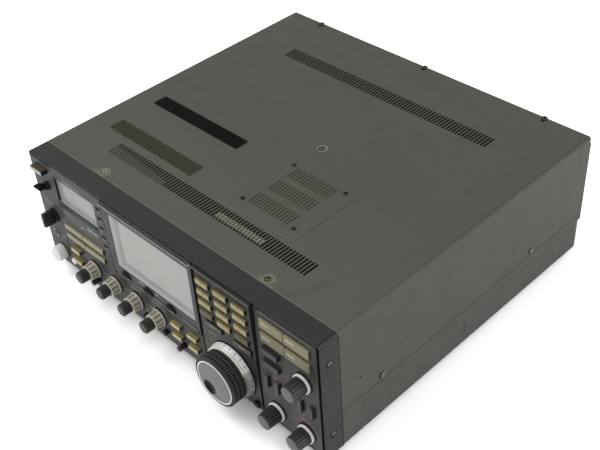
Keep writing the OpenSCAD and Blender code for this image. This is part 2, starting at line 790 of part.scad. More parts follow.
module dial_skirt() color([0.8, 0.8, 0.78]) place() {
    translate([dial_at[0], face_y, dial_at[1]]) difference() {
        taper(0, 0, -skirt_p, -boss_p, skirt_r - 1.7, skirt_r);
        rod(0, 0, -skirt_p - 1, 1, 20);
    }
}

module dial_lock_key() color([0.05, 0.05, 0.05]) place() {
    key(lock_box, 3, 1, 0);
}

module outer_knob(x) {
    translate([x, face_y, twin_z]) difference() {
        union() {
            taper(0, 0, -outer_p, -boss_p - knob_gap, outer_r - 2.1, outer_r);
            rod(0, 0, -outer_p + 2, panel_t + 4, tube_r);
        }
        rod(0, 0, -outer_p - 1, panel_t + 6, core_r + shaft_fit);
    }
}

module inner_knob(x) {
    translate([x, face_y, twin_z]) {
        rod(0, 0, -inner_p, -outer_p - knob_gap, inner_r);
        rod(0, 0, -inner_p + 2, panel_t + 8, core_r);
    }
}

module side_knob(p) {
    translate([p[0], face_y, p[1]]) {
        rod(0, 0, -3.2, -boss_p - knob_gap, side_r + 1);
        taper(0, 0, -side_p, -3, side_r - 0.8, side_r);
        rod(0, 0, -3, panel_t + 8, shaft_r);
    }
}

module outer_knob_a() color([0.6, 0.59, 0.54]) place() {
    outer_knob(twin_x[0]);
}

module outer_knob_b() color([0.6, 0.59, 0.54]) place() {
    outer_knob(twin_x[1]);
}

module outer_knob_c() color([0.6, 0.59, 0.54]) place() {
    outer_knob(twin_x[2]);
}

module outer_knob_d() color([0.6, 0.59, 0.54]) place() {
    outer_knob(twin_x[3]);
}

module inner_knob_a() color([0.15, 0.15, 0.14]) place() {
    inner_knob(twin_x[0]);
}

module inner_knob_b() color([0.15, 0.15, 0.14]) place() {
    inner_knob(twin_x[1]);
}

module inner_knob_c() color([0.15, 0.15, 0.14]) place() {
    inner_knob(twin_x[2]);
}

module inner_knob_d() color([0.15, 0.15, 0.14]) place() {
    inner_knob(twin_x[3]);
}

module side_knob_a() color([0.16, 0.16, 0.15]) place() {
    side_knob(side_at[0]);
}

module side_knob_b() color([0.16, 0.16, 0.15]) place() {
    side_knob(side_at[1]);
}

module side_knob_c() color([0.16, 0.16, 0.15]) place() {
    side_knob(side_at[2]);
}

// Keys

module mode_key_a() color([0.68, 0.64, 0.5]) place() {
    key(mode_boxes[0], 2);
}

module mode_key_b() color([0.68, 0.64, 0.5]) place() {
    key(mode_boxes[1], 2);
}

module mode_key_c() color([0.68, 0.64, 0.5]) place() {
    key(mode_boxes[2], 2);
}

module mode_key_d() color([0.68, 0.64, 0.5]) place() {
    key(mode_boxes[3], 2);
}

module memory_key_a() color([0.58, 0.56, 0.46]) place() {
    key(memory_boxes[0], 2);
}

module memory_key_b() color([0.58, 0.56, 0.46]) place() {
    key(memory_boxes[1], 2);
}

module memory_key_c() color([0.58, 0.56, 0.46]) place() {
    key(memory_boxes[2], 2);
}

module memory_key_d() color([0.58, 0.56, 0.46]) place() {
    key(memory_boxes[3], 2);
}

module side_keys() color([0.28, 0.28, 0.28]) place() {
    for (b = side_boxes)
        key(b, 4);
}

module narrow_keys() color([0.32, 0.32, 0.32]) place() {
    for (b = narrow_boxes)
        key(b, 4);
}

module keypad_keys() color([0.7, 0.66, 0.5]) place() {
    for (b = keypad_boxes)
        key(b, 2.5);
    for (b = wide_boxes)
        key(b, 2.5);
}

module small_keys() color([0.72, 0.67, 0.5]) place() {
    for (b = small_boxes)
        key(b, 4.8);
}

module round_buttons() color([0.05, 0.05, 0.05]) place() {
    for (i = [0:4])
        round_button(round_at[i][0] * sx, round_at[i][1] * sz, button_r, round_p[i]);
    round_button(white_at[0], white_at[1], white_r, 3);
}

module half_round_keys() color([0.06, 0.07, 0.07]) place() {
    for (x = half_x)
        union() {
            plate(back_y + lip_t, panel_t + lip_t + 1.5) half2(x, 0);
            block(x - half_r + 1, x + half_r - 1, back_y, back_y + lip_t, half_z - key_lip, half_z + 2);
        }
}

chassis();
front_frame();
main_panel();
display_bezel();
keypad_panel();
right_panel();
top_cover();
bottom_cover();
rear_panel();
heat_sink();
rear_sockets();
fan_frame();
feet();
case_screws();
meter_case();
meter_lens();
display_tube();
display_filter();
speaker();
main_board();
power_supply();
control_board();
rotary_controls();
front_sockets();
indicator_lenses();
hook_strip();
power_button();
transmit_lever();
meter_selector();
mic_cap();
tuning_dial();
dial_skirt();
dial_lock_key();
outer_knob_a();
outer_knob_b();
outer_knob_c();
outer_knob_d();
inner_knob_a();
inner_knob_b();
inner_knob_c();
inner_knob_d();
side_knob_a();
side_knob_b();
side_knob_c();
meter_needle();
fan_rotor();
mode_key_a();
mode_key_b();
mode_key_c();
mode_key_d();
memory_key_a();
memory_key_b();
memory_key_c();
memory_key_d();
side_keys();
narrow_keys();
keypad_keys();
small_keys();
round_buttons();
half_round_keys();
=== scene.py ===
"""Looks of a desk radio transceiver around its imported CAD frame. Sizes are in mm unless a name says so."""
import math
import random
from collections import namedtuple

import bmesh
import bpy
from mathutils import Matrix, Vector

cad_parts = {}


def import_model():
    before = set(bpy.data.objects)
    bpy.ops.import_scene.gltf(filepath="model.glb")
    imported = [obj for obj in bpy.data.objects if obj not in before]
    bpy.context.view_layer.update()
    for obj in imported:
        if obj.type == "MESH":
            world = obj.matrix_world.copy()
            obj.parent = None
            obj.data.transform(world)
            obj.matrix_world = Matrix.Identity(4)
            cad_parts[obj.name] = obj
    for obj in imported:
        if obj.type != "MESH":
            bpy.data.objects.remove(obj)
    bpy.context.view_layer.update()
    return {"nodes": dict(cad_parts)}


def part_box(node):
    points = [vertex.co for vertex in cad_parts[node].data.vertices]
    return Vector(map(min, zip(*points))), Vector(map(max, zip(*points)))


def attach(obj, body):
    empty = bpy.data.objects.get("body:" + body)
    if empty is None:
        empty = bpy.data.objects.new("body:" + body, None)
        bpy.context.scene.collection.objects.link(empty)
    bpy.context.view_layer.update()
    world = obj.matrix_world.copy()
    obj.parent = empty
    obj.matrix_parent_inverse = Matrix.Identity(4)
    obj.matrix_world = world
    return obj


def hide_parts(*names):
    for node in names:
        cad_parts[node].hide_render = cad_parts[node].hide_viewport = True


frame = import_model()

# Values read from the frame

MM = 0.001
PANEL_GAP = 0.4
DIAL_X = 93.5
FRAME_LOW, FRAME_HIGH = (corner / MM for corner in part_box("front_frame"))
SKIRT_LOW, SKIRT_HIGH = (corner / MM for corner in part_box("dial_skirt"))
HALF_W = FRAME_HIGH.x
FRONT_X = (SKIRT_LOW.x + SKIRT_HIGH.x) / 2 - DIAL_X
LEFT_X = -HALF_W - FRONT_X
RIGHT_X = HALF_W - FRONT_X
BASE_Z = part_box("main_panel")[0].z / MM - PANEL_GAP
TOP_Z = FRAME_HIGH.z
HEIGHT = TOP_Z - BASE_Z
DROP = BASE_Z - FRAME_LOW.z
FACE_Y = FRAME_LOW.y
COVER_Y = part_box("top_cover")[0].y / MM
COVER_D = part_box("top_cover")[1].y / MM - COVER_Y
FRAME_D = COVER_Y - FACE_Y

# Sizes shared with the solids

PANEL_T = 3.0
KEY_LIP = 1.2
KEY_CLEAR = 0.35
SIDE_RIM = 3.5
TOP_RIM = 5.5
LIP_W = 1.3
LEDGE_W = 2.2
LEDGE_T = 3.0
LOW_BEVEL = 4.0
FOLD_R = 2.8
BOSS_P = 1.2
SHEET_T = 1.6

Box = namedtuple("Box", "x0 x1 z0 z1 back front")


# Placing functions: two places along a surface and a height above it

def on_front(x, z, p):
    return Vector((FRONT_X + x, FACE_Y - p, BASE_Z + z)) * MM


def on_top(x, y, h):
    return Vector((FRONT_X + x, COVER_Y + y, TOP_Z + h)) * MM


def on_right(y, z, h):
    return Vector((HALF_W + h, COVER_Y + y, BASE_Z + z)) * MM


def on_left(y, z, h):
    return Vector((-HALF_W - h, COVER_Y + y, BASE_Z + z)) * MM


def on_floor(x, y, h):
    return Vector((x, COVER_Y + y, h)) * MM


SIDES = (("right", on_right), ("left", on_left))


# Boxes of the CAD solids, as seen on the front

def front_box(low, high):
    """Box of two corners in metres."""
    return Box(low.x / MM - FRONT_X, high.x / MM - FRONT_X, low.z / MM - BASE_Z, high.z / MM - BASE_Z,
               FACE_Y - high.y / MM, FACE_Y - low.y / MM)


def node_box(node):
    return front_box(*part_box(node))


def solid_boxes(node):
    """Boxes of the separate solids of a CAD node, from left to right and top to bottom."""
    mesh = frame["nodes"][node].data
    merged = {}
    ids = [merged.setdefault(tuple(round(c, 6) for c in v.co), len(merged)) for v in mesh.vertices]
    parent = list(range(len(merged)))

    def root(i):
        while parent[i] != i:
            parent[i] = parent[parent[i]]
            i = parent[i]
        return i

    for polygon in mesh.polygons:
        first = root(ids[polygon.vertices[0]])
        for v in polygon.vertices:
            parent[root(ids[v])] = first
    groups = {}
    for v in mesh.vertices:
        groups.setdefault(root(ids[v.index]), []).append(v.co)
    boxes = []
    for points in groups.values():
        low = Vector([min(p[k] for p in points) for k in range(3)])
        high = Vector([max(p[k] for p in points) for k in range(3)])
        boxes.append(front_box(low, high))
    return sorted(boxes, key=lambda b: (round(b.x0, 1), -b.z0))


def centre(box):
    return (box.x0 + box.x1) / 2, (box.z0 + box.z1) / 2


# Places on the front

BEZEL = node_box("display_bezel")
MID_LEFT, MID_RIGHT, MID_LOW = BEZEL.x0, BEZEL.x1, BEZEL.z0
PAD = node_box("keypad_panel")
RIGHT = node_box("right_panel")
MAIN = node_box("main_panel")
FILTER = node_box("display_filter")
MIC = node_box("mic_cap")
DIAL = node_box("tuning_dial")
TWIN_AT = [centre(node_box("outer_knob_" + c)) for c in "abcd"]
SIDE_AT = [centre(node_box("side_knob_" + c)) for c in "abc"]
DIAL_AT = centre(node_box("dial_skirt"))
SELECTOR_AT = centre(node_box("meter_selector"))
MIC_AT = centre(MIC)
LAMP_SPOTS = [centre(b) for b in solid_boxes("indicator_lenses")]
ROUND_BUTTONS = solid_boxes("round_buttons")
SMALL_KEYS = solid_boxes("small_keys")
PAD_KEYS = solid_boxes("keypad_keys")
SIDE_KEYS = solid_boxes("side_keys")
NARROW_KEYS = solid_boxes("narrow_keys")
LEVER_AT = (-192.0, 106.0)
JACK_AT = (-199.0, 37.5)
METER_WINDOW = (-175, -105, 88, 125)
DISPLAY_WINDOW = (-76.8, 44.2, 61.7, 128.0)
OPEN_TOP = HEIGHT - TOP_RIM
LEFT_TOP = MAIN.z1 - 0.3
LEFT_LIP = 0.4
RIGHT_LIP = 0.6
PANEL_LEFT = LEFT_X + LEFT_LIP + 0.2
BEZEL_P = 1.6
DISPLAY_LIP_P = 4.2
LAMP_W, LAMP_H = 3.1, 1.5
WIDE_KEY_W = 20

# The half-round keys, a little up and to the right of their solids, as the photograph has them
HALF_R = 7.1
HALF_RISE = 1.2
HALF_SHIFT = (1.7, 2.4)
HALF_AT = [(centre(b)[0] + HALF_SHIFT[0], b.z0 + KEY_LIP + HALF_SHIFT[1])
           for b in solid_boxes("half_round_keys")]

HIDDEN_BUTTON_X = (-50, -30)
HIDDEN_BUTTON_SHIFT = (-2.5, 1.0)


def button_at(box):
    """Place of a round button; the one beside the last twin knob sits a little left, where it shows."""
    x, z = centre(box)
    if HIDDEN_BUTTON_X[0] < x < HIDDEN_BUTTON_X[1]:
        return x + HIDDEN_BUTTON_SHIFT[0], z + HIDDEN_BUTTON_SHIFT[1]
    return x, z


# Outlines

def rounded(x0, x1, z0, z1, r, steps=3):
    """Rectangle with rounded corners."""
    corners = ((x1 - r, z0 + r, -90), (x1 - r, z1 - r, 0), (x0 + r, z1 - r, 90), (x0 + r, z0 + r, 180))
    points = []
    for cx, cz, start in corners:
        for i in range(steps + 1):
            a = math.radians(start + 90 * i / steps)
            points.append((cx + r * math.cos(a), cz + r * math.sin(a)))
    return points


def drawn_in(edges, amount, r):
    """Rounded rectangle inside four edges by an amount."""
    x0, x1, z0, z1 = edges
    return rounded(x0 + amount, x1 - amount, z0 + amount, z1 - amount, r)


def circle(x, z, r, steps=32):
    turns = [2 * math.pi * i / steps for i in range(steps)]
    return [(x + r * math.cos(a), z + r * math.sin(a)) for a in turns]


def half_round(x, z, r, steps=16):
    """Upper half of a disc on the line z."""
    turns = [math.pi * i / steps for i in range(steps + 1)]
    return [(x + r * math.cos(a), z + r * math.sin(a)) for a in turns]


def level(outline, h):
    return [(u, v, h) for u, v in outline]


def inset(outline, amount):
    """Outline drawn in towards its middle by about the amount on each side."""
    mid_u = (min(u for u, v in outline) + max(u for u, v in outline)) / 2
    mid_v = (min(v for u, v in outline) + max(v for u, v in outline)) / 2
    scale_u = 1 - amount / (max(u for u, v in outline) - mid_u)
    scale_v = 1 - amount / (max(v for u, v in outline) - mid_v)
    return [(mid_u + (u - mid_u) * scale_u, mid_v + (v - mid_v) * scale_v) for u, v in outline]


def round_over(edge, steps=3):
    """How far in and how far up each step of a rounded edge lies."""
    turns = [math.pi / 2 * i / steps for i in range(steps + 1)]
    return [(edge * (1 - math.cos(a)), edge * math.sin(a)) for a in turns]


# Materials

LOOKS = {}
COAT_ROUGH = 0.08
FOOT_FROM, FOOT_TO = 0.75, 0.35


def srgb(*values):
    """Colour written as it shows on screen, 0 to 255, as Blender's linear colour."""
    linear = []
    for value in values:
        c = value / 255
        linear.append(c / 12.92 if c <= 0.04045 else ((c + 0.055) / 1.055) ** 2.4)
    return (*linear, 1.0)


def shade(colour, factor):
    return (*(min(1.0, c * factor) for c in colour[:3]), 1.0)


class Look:
    """Short way to put shader nodes together."""

    def __init__(self, name):
        self.material = bpy.data.materials.new(name)
        self.material.use_nodes = True
        self.tree = self.material.node_tree
        self.shader = self.tree.nodes["Principled BSDF"]
        self.where = self.add("ShaderNodeTexCoord").outputs["Object"]

    def add(self, kind, **inputs):
        node = self.tree.nodes.new(kind)
        for name, value in inputs.items():
            self.put(node.inputs[name.replace("_", " ")], value)
        return node

    def put(self, socket, value):
        if isinstance(value, bpy.types.NodeSocket):
            self.tree.links.new(value, socket)
        else:
            socket.default_value = value

    def set(self, name, value):
        self.put(self.shader.inputs[name], value)

    def paint(self, tone):
        """Takes a tone as the colour of the surface."""
        self.tone = tone
        self.set("Base Color", tone)

    def lay(self, where, share, *colour):
        """Lays a colour over the surface, as strongly as the share, where the pattern is 1."""
        self.paint(self.mix(self.math("MULTIPLY", where, share), self.tone, srgb(*colour)))

    def axes(self):
        return self.add("ShaderNodeSeparateXYZ", Vector=self.where).outputs

    def noise(self, size, detail=3.0, stretch=None, offset=0.0):
        """Cloudy pattern with features of a size in mm, drawn out along the axes by stretch."""
        where = self.where
        if stretch or offset:
            mapping = self.add("ShaderNodeMapping", Vector=where, Location=(offset, offset, offset))
            mapping.inputs["Scale"].default_value = [1 / s for s in (stretch or (1, 1, 1))]
            where = mapping.outputs["Vector"]
        node = self.add("ShaderNodeTexNoise", Vector=where, Scale=1 / (size * MM), Detail=detail)
        return node.outputs["Fac"]

    def span(self, value, low, high, to_low=0.0, to_high=1.0):
        node = self.add("ShaderNodeMapRange", Value=value, From_Min=low, From_Max=high,
                        To_Min=to_low, To_Max=to_high)
        return node.outputs["Result"]

    def mix(self, factor, a, b):
        node = self.tree.nodes.new("ShaderNodeMix")
        node.data_type = "RGBA"
        self.put(node.inputs[0], factor)
        self.put(node.inputs[6], a)
        self.put(node.inputs[7], b)
        return node.outputs[2]

    def math(self, operation, a, b):
        node = self.tree.nodes.new("ShaderNodeMath")
        node.operation = operation
        node.use_clamp = operation in ("MULTIPLY", "ADD")
        self.put(node.inputs[0], a)
        self.put(node.inputs[1], b)
        return node.outputs[0]

    def edges(self, width):
        """1 near the edges of the mesh, 0 on its flats."""
        rounded_normal = self.add("ShaderNodeBevel", Radius=width * MM)
        rounded_normal.samples = 4
        dot = self.tree.nodes.new("ShaderNodeVectorMath")
        dot.operation = "DOT_PRODUCT"
        self.put(dot.inputs[0], rounded_normal.outputs["Normal"])
        self.put(dot.inputs[1], self.add("ShaderNodeNewGeometry").outputs["Normal"])
        return self.span(dot.outputs["Value"], 0.995, 0.9)

    def near(self, place, r, soft, along=(1, 1, 0)):
        """1 inside a circle round a place, along the axes named, fading out over soft."""
        flat = self.add("ShaderNodeVectorMath", Vector=self.where)
        flat.operation = "MULTIPLY"
        flat.inputs[1].default_value = along
        away = self.tree.nodes.new("ShaderNodeVectorMath")
        away.operation = "DISTANCE"
        self.put(away.inputs[0], flat.outputs["Vector"])
        away.inputs[1].default_value = [a * k for a, k in zip(place, along)]
        return self.span(away.outputs["Value"], (r + soft) * MM, r * MM)


def surface(name, colour, rough=0.5, spread=0.08, grain=0.4, depth=0.02, tint=0.08, blotch=30.0,
            metal=0.0, coat=0.0, wear=None, wear_width=0.5, stretch=None, specular=0.5, foot=None):
    """Moulded, painted or metal surface: grain, cloudy colour, uneven gloss, worn edges and a paler foot."""
    look = Look(name)
    base = srgb(*colour)
    cloud = look.span(look.noise(blotch, 5.0), 0.3, 0.7)
    tone = look.mix(cloud, shade(base, 1 - tint), shade(base, 1 + tint))
    if foot:
        start, end = ((BASE_Z + share * HEIGHT) * MM for share in (FOOT_FROM, FOOT_TO))
        low = look.span(look.axes()["Z"], start, end)
        tone = look.mix(low, tone, srgb(*foot))
    fleck = look.span(look.noise(grain * 4, 4.0, offset=0.37), 0.35, 0.65)
    tone = look.mix(look.math("MULTIPLY", fleck, 0.25), tone, shade(base, 1 - 1.5 * tint))
    if wear:
        patchy = look.span(look.noise(4.0, 4.0), 0.4, 0.6)
        tone = look.mix(look.math("MULTIPLY", look.edges(wear_width), patchy), tone, srgb(*wear))
    look.paint(tone)
    gloss = look.noise(blotch / 3, 4.0, offset=0.61)
    look.set("Roughness", look.span(gloss, 0.25, 0.75, rough - spread, rough + spread))
    grains = look.noise(grain, 3.0, stretch)
    bump = look.add("ShaderNodeBump", Height=grains, Distance=depth * MM, Strength=1.0)
    look.set("Normal", bump.outputs["Normal"])
    look.set("Metallic", metal)
    look.set("Specular IOR Level", specular)
    if coat:
        look.set("Coat Weight", coat)
        look.set("Coat Roughness", COAT_ROUGH)
    LOOKS[name] = look.material
    return look


# Finishes that several looks share

PANEL = dict(specular=0.3, grain=0.25, depth=0.012)
WORN_PANEL = dict(PANEL, wear_width=0.3)
TRIM = dict(rough=0.45, grain=0.25, depth=0.012)
MOULDED = dict(grain=0.25, depth=0.015)
WORN_KEY = dict(MOULDED, wear_width=0.25)
KEY_END = dict(MOULDED, rough=0.6, specular=0.2)
MEMORY = dict(WORN_KEY, rough=0.48)
PRINT = dict(grain=0.3, depth=0.004)
SMOOTH = dict(depth=0.01)
STEEL = dict(grain=0.5, depth=0.01, blotch=12)
INNER = dict(grain=0.5, depth=0.01, blotch=4)
SOCKET = dict(grain=0.3, depth=0.006, blotch=6)
SCREEN = dict(rough=0.35, spread=0.02, specular=0.3, grain=0.5, depth=0.0005, tint=0.02)
LIP = dict(rough=0.3, grain=0.8)
INK = dict(grain=0.3, depth=0.002)
PANEL_FOOT = (86, 87, 85)


def define(name, colour, finish=None, **own):
    """Surface of a shared finish, with values of its own."""
    surface(name, colour, **{**(finish or {}), **own})


# Frame and panels
define("frame_plastic", (44, 45, 45), grain=0.3, depth=0.015, specular=0.3, wear=(84, 85, 84))
# Frame plastic of the brow, painted darker as shade under the top rim
define("brow_plastic", (36, 37, 37), rough=0.6, grain=0.3, depth=0.015, specular=0.15,
       wear=(92, 93, 92), wear_width=0.4)
define("keypad_lip", (96, 97, 97), TRIM, wear=(176, 177, 178))
define("right_panel", (54, 55, 53), WORN_PANEL, wear=(100, 100, 99), foot=PANEL_FOOT)
define("trim_strip", (84, 85, 84), TRIM, wear=(120, 121, 120), wear_width=0.3)
define("meter_band", (45, 47, 49), PANEL)
define("label_plate", (90, 91, 90), PANEL)
define("bezel", (76, 77, 77), rough=0.45, grain=0.25, depth=0.008, specular=0.3)
define("clear_edge", (58, 60, 68), LIP, depth=0.01)
# Clear lip over the display: its front painted with pale streaks and its end painted pale, both painted
# highlights
define("lip_front_highlight", (128, 130, 138), LIP, tint=0.35, blotch=9, stretch=(6, 1, 1))
define("lip_end_highlight", (204, 205, 208), LIP)

# Plain blacks
define("black_plastic", (26, 26, 26), specular=0.3, grain=0.3, depth=0.012, tint=0.12)
define("matte_black", (20, 20, 20), rough=0.75, specular=0.15, grain=0.3, depth=0.01, tint=0.1)
define("black_gloss", (24, 25, 25), rough=0.25, depth=0.006, tint=0.1)
# Black fill of the vent slots: painted shade
define("slot_black", (16, 16, 14), rough=0.9, specular=0.05, grain=0.5, depth=0.01)
define("deep_black", (10, 10, 10), SMOOTH, rough=0.8)
define("hook_fabric", (15, 15, 16), rough=0.8, specular=0.2, grain=0.3, depth=0.03, tint=0.2, blotch=3)
define("foot_rubber", (24, 24, 24), rough=0.75, grain=0.5, depth=0.04)

# Knobs and dial
define("knob_black", (52, 52, 48), MOULDED, tint=0.1, wear=(84, 84, 80), wear_width=0.2)
define("knob_face", (112, 113, 111), rough=0.45, grain=0.2, depth=0.008, specular=0.35)
define("inner_face", (90, 91, 88), grain=0.2, depth=0.008, specular=0.3)
define("dial_rubber", (86, 86, 82), rough=0.6, specular=0.3, grain=0.25, tint=0.12)
define("dial_rim", (50, 50, 47), MOULDED, specular=0.3, tint=0.1, wear=(84, 84, 80), wear_width=0.3)
define("dial_face", (122, 123, 119), rough=0.38, grain=0.15, depth=0.006, stretch=(20, 1, 1))
define("cup_gloss", (8, 8, 8), rough=0.24, spread=0.04, specular=0.2, depth=0.004, coat=0.12)
define("silver_ribs", (176, 171, 152), rough=0.4, grain=0.3, depth=0.01, metal=0.15,
       wear=(214, 211, 196), wear_width=0.25)
define("silver_rim", (226, 224, 214), PRINT, rough=0.3, metal=0.2)
# Darker colour of the grooves between the ribs: painted shade
define("groove_shade", (58, 55, 48), rough=0.6, grain=0.3, depth=0.01)
define("white_ring", (247, 247, 244), rough=0.4, grain=0.3, depth=0.006, tint=0.02)
define("cap_plastic", (250, 251, 247), rough=0.45, grain=0.3, depth=0.01, tint=0.02)

# Print
define("white_print", (232, 233, 230), PRINT, tint=0.03)
define("grey_print", (172, 172, 168), PRINT)
define("red_print", (190, 104, 102), PRINT)
define("dark_print", (50, 48, 42), PRINT)
define("cream_rim", (226, 222, 204), PRINT, rough=0.35)

# Keys: fronts, upper sides painted lighter or darker as light falls on them, and ends in painted shade
define("beige_key", (173, 164, 125), WORN_KEY, tint=0.05, wear=(206, 198, 160))
define("small_key", (212, 202, 160), WORN_KEY, tint=0.05, wear=(226, 218, 184))
define("mode_key", (166, 159, 136), WORN_KEY, tint=0.05, wear=(190, 184, 162))
define("olive_key", (100, 96, 72), WORN_KEY, wear=(136, 131, 104))
define("memory_key", (140, 133, 106), MEMORY, tint=0.06, wear=(172, 166, 138))
define("memory_low", (126, 120, 96), MEMORY, tint=0.06, wear=(160, 154, 128))
define("dark_key", (82, 82, 79), PANEL, wear=(118, 118, 116), wear_width=0.25)
define("wide_key", (90, 90, 86), PANEL)
define("narrow_key", (86, 86, 84), PANEL)
define("power_front", (200, 197, 188), MOULDED)
define("beige_top", (144, 130, 84), MOULDED, tint=0.06)
define("mode_top", (148, 139, 110), MOULDED, tint=0.05)
define("olive_top", (112, 105, 76), MOULDED)
define("memory_top", (156, 148, 118), MEMORY)
define("dark_key_top", (50, 50, 48), PANEL)
define("brown_top", (78, 71, 58), KEY_END)
define("key_end", (44, 40, 30), KEY_END)
define("small_key_end", (78, 69, 48), KEY_END)
define("memory_end", (92, 86, 64), MOULDED)

# Covers, screws and wear
define("lower_paint", (76, 76, 71), rough=0.6, specular=0.3, grain=0.5)
define("rear_paint", (60, 60, 58), rough=0.55, grain=0.5)
define("cover_rim", (132, 129, 117), tint=0.2, blotch=8)
define("dimple", (118, 115, 100), tint=0.12, blotch=4)
define("screw_dark", (70, 68, 60), SMOOTH, rough=0.35, metal=0.7)
define("screw_bright", (118, 116, 108), SMOOTH, rough=0.3, metal=0.6)
define("screw_olive", (92, 87, 70), SMOOTH, rough=0.4, metal=0.25)
# Pale head of the left top screw: a painted highlight
define("screw_pale", (152, 150, 140), SMOOTH, rough=0.4, metal=0.25)
define("frame_screw", (112, 111, 106), SMOOTH, rough=0.35, metal=0.25)
define("screw_black", (30, 28, 25), SMOOTH, specular=0.3)
define("scribe", (104, 104, 97), SMOOTH)
define("dark_scratch", (44, 44, 41), SMOOTH)
define("adhesive", (62, 60, 47), rough=0.85, specular=0.15, grain=0.5, depth=0.2, tint=0.5, blotch=1.0)
define("speaker_frame", (58, 55, 44), rough=0.8, grain=0.8, depth=0.08, tint=0.2, blotch=3)
define("dust_cloth", (64, 61, 47), rough=0.9, specular=0.1, grain=0.6, depth=0.1, tint=0.15, blotch=5)

# Metal and boards
define("chassis_steel", (120, 119, 112), STEEL, rough=0.4, metal=0.6)
define("shield_steel", (150, 150, 144), STEEL, rough=0.38, metal=0.7)
define("inner_shield", (142, 138, 116), INNER, tint=0.25)
define("inner_olive", (84, 80, 66), INNER, rough=0.6, tint=0.2)
define("sink_aluminium", (34, 34, 35), rough=0.42, depth=0.012, metal=0.3)
define("socket_metal", (178, 178, 170), SOCKET, rough=0.28, metal=0.9)
define("socket_ring", (120, 118, 110), SOCKET, rough=0.35, metal=0.8)
define("control_metal", (140, 139, 130), rough=0.35, depth=0.006, metal=0.8)
define("board_laminate", (46, 84, 56), rough=0.45, grain=0.6, tint=0.2, blotch=6)

# Display, meter and lamps
define("tube_glass", (52, 60, 60), rough=0.1, grain=0.5, depth=0.002, coat=0.5)
define("screen", (190, 188, 184), SCREEN, blotch=60)
# Darker band at the left and foot of the screen: painted shade
define("screen_band", (160, 160, 159), SCREEN)
define("screen_mask", (180, 181, 180), SCREEN, rough=0.4, spread=0.03, depth=0.001)
define("meter_card", (238, 236, 233), INK, rough=0.7, spread=0.02, specular=0.2, tint=0.03)
define("meter_ink", (84, 80, 78), INK, rough=0.6)
define("needle_paint", (204, 112, 92), INK, rough=0.4)
define("lamp_lens", (14, 14, 14), rough=0.7, specular=0.15, depth=0.002)


# Looks with patterns of their own

STAINED_X = (-121, 121)
# Offset of the painted shadow of each twin knob on the main panel
TWIN_SHADE = (18.5, 13.5)
# Middle of the painted shadow that the dial casts on the keypad panel
DIAL_SHADOW_AT = (DIAL_X + 28.5, 53.0)
SMEAR = [(148.6, 3.4), (152.2, 8.0), (155.5, 13.5), (158.4, 19.8), (160.6, 25.5), (162.4, 31.0),
         (163.8, 36.5)]


def cover_paint():
    """Textured warm grey paint: stains by the front screws, painted shade along the fold, a paler front and a
    smear.
    """
    look = surface("cover_paint", (78, 78, 72), rough=0.58, spread=0.07, grain=0.55, depth=0.03, tint=0.05,
                   blotch=45, specular=0.3)
    patchy = look.span(look.noise(5.0, 5.0, offset=0.2), 0.35, 0.65)
    for x in STAINED_X:
        stain = look.math("MULTIPLY", look.near(on_top(x, 2.5, 0), 5.0, 9.0), patchy)
        look.lay(stain, 0.75, 146, 134, 98)
    axes = look.axes()
    # painted shade along the fold between the top and the right side
    aside = look.span(axes["X"], (HALF_W - FOLD_R - 0.8) * MM, (HALF_W - FOLD_R) * MM)
    above = look.span(axes["Z"], (TOP_Z - FOLD_R - 0.8) * MM, (TOP_Z - FOLD_R) * MM)
    look.lay(look.math("MULTIPLY", aside, above), 0.6, 54, 54, 50)
    # the top is paler towards its front
    back = look.span(axes["Y"], (COVER_Y + 30) * MM, (COVER_Y + 150) * MM)
    paler_front = look.math("ADD", look.math("MULTIPLY", look.math("SUBTRACT", 1.0, back), 0.22), 0.17)
    look.lay(paler_front, above, 100, 98, 89)
    look.lay(look.span(look.noise(1.8, 3.0, offset=0.9), 0.3, 0.7), 0.14, 62, 62, 57)
    for x, y in SMEAR:
        look.lay(look.near(on_top(x, y, 0), 0.5, 4.5), 0.3, 58, 58, 54)


def clear_lens():
    """Slightly hazy clear plastic over the meter."""
    look = surface("clear_lens", (214, 212, 212), rough=0.3, spread=0.02, grain=0.6, depth=0.0005, tint=0.04,
                   blotch=14, stretch=(1, 1, 8), specular=0.2)
    look.set("Alpha", 0.35)


def main_panel_plastic():
    """Grey panel with a painted shadow up and to the right of each twin knob."""
    look = surface("main_panel", (82, 83, 81), **WORN_PANEL, wear=(120, 120, 118))
    for x, z in TWIN_AT:
        # painted shadow of the knob
        patch = look.near(on_front(x + TWIN_SHADE[0], z + TWIN_SHADE[1], 0), 4.0, 8.0, along=(1, 0, 1))
        look.lay(patch, 0.6, 34, 35, 34)


def keypad_panel_plastic():
    """Grey panel, paler towards its foot, with a painted shadow of the dial beside it."""
    look = surface("keypad_panel", (48, 49, 47), **WORN_PANEL, wear=(105, 105, 104), foot=PANEL_FOOT)
    # painted shadow of the dial, to its right
    look.lay(look.near(on_front(*DIAL_SHADOW_AT, 0), 16.0, 9.0, along=(1, 0, 1)), 0.85, 20, 21, 21)


SKIRT_METAL = 0.12
# Where the painted shade on the skirt's lower right starts and is full, and the slant of its edge
SKIRT_SHADE_FROM, SKIRT_SHADE_TO = 8.5, 13.0
SKIRT_SHADE_X, SKIRT_SHADE_Z = 0.8, 0.6


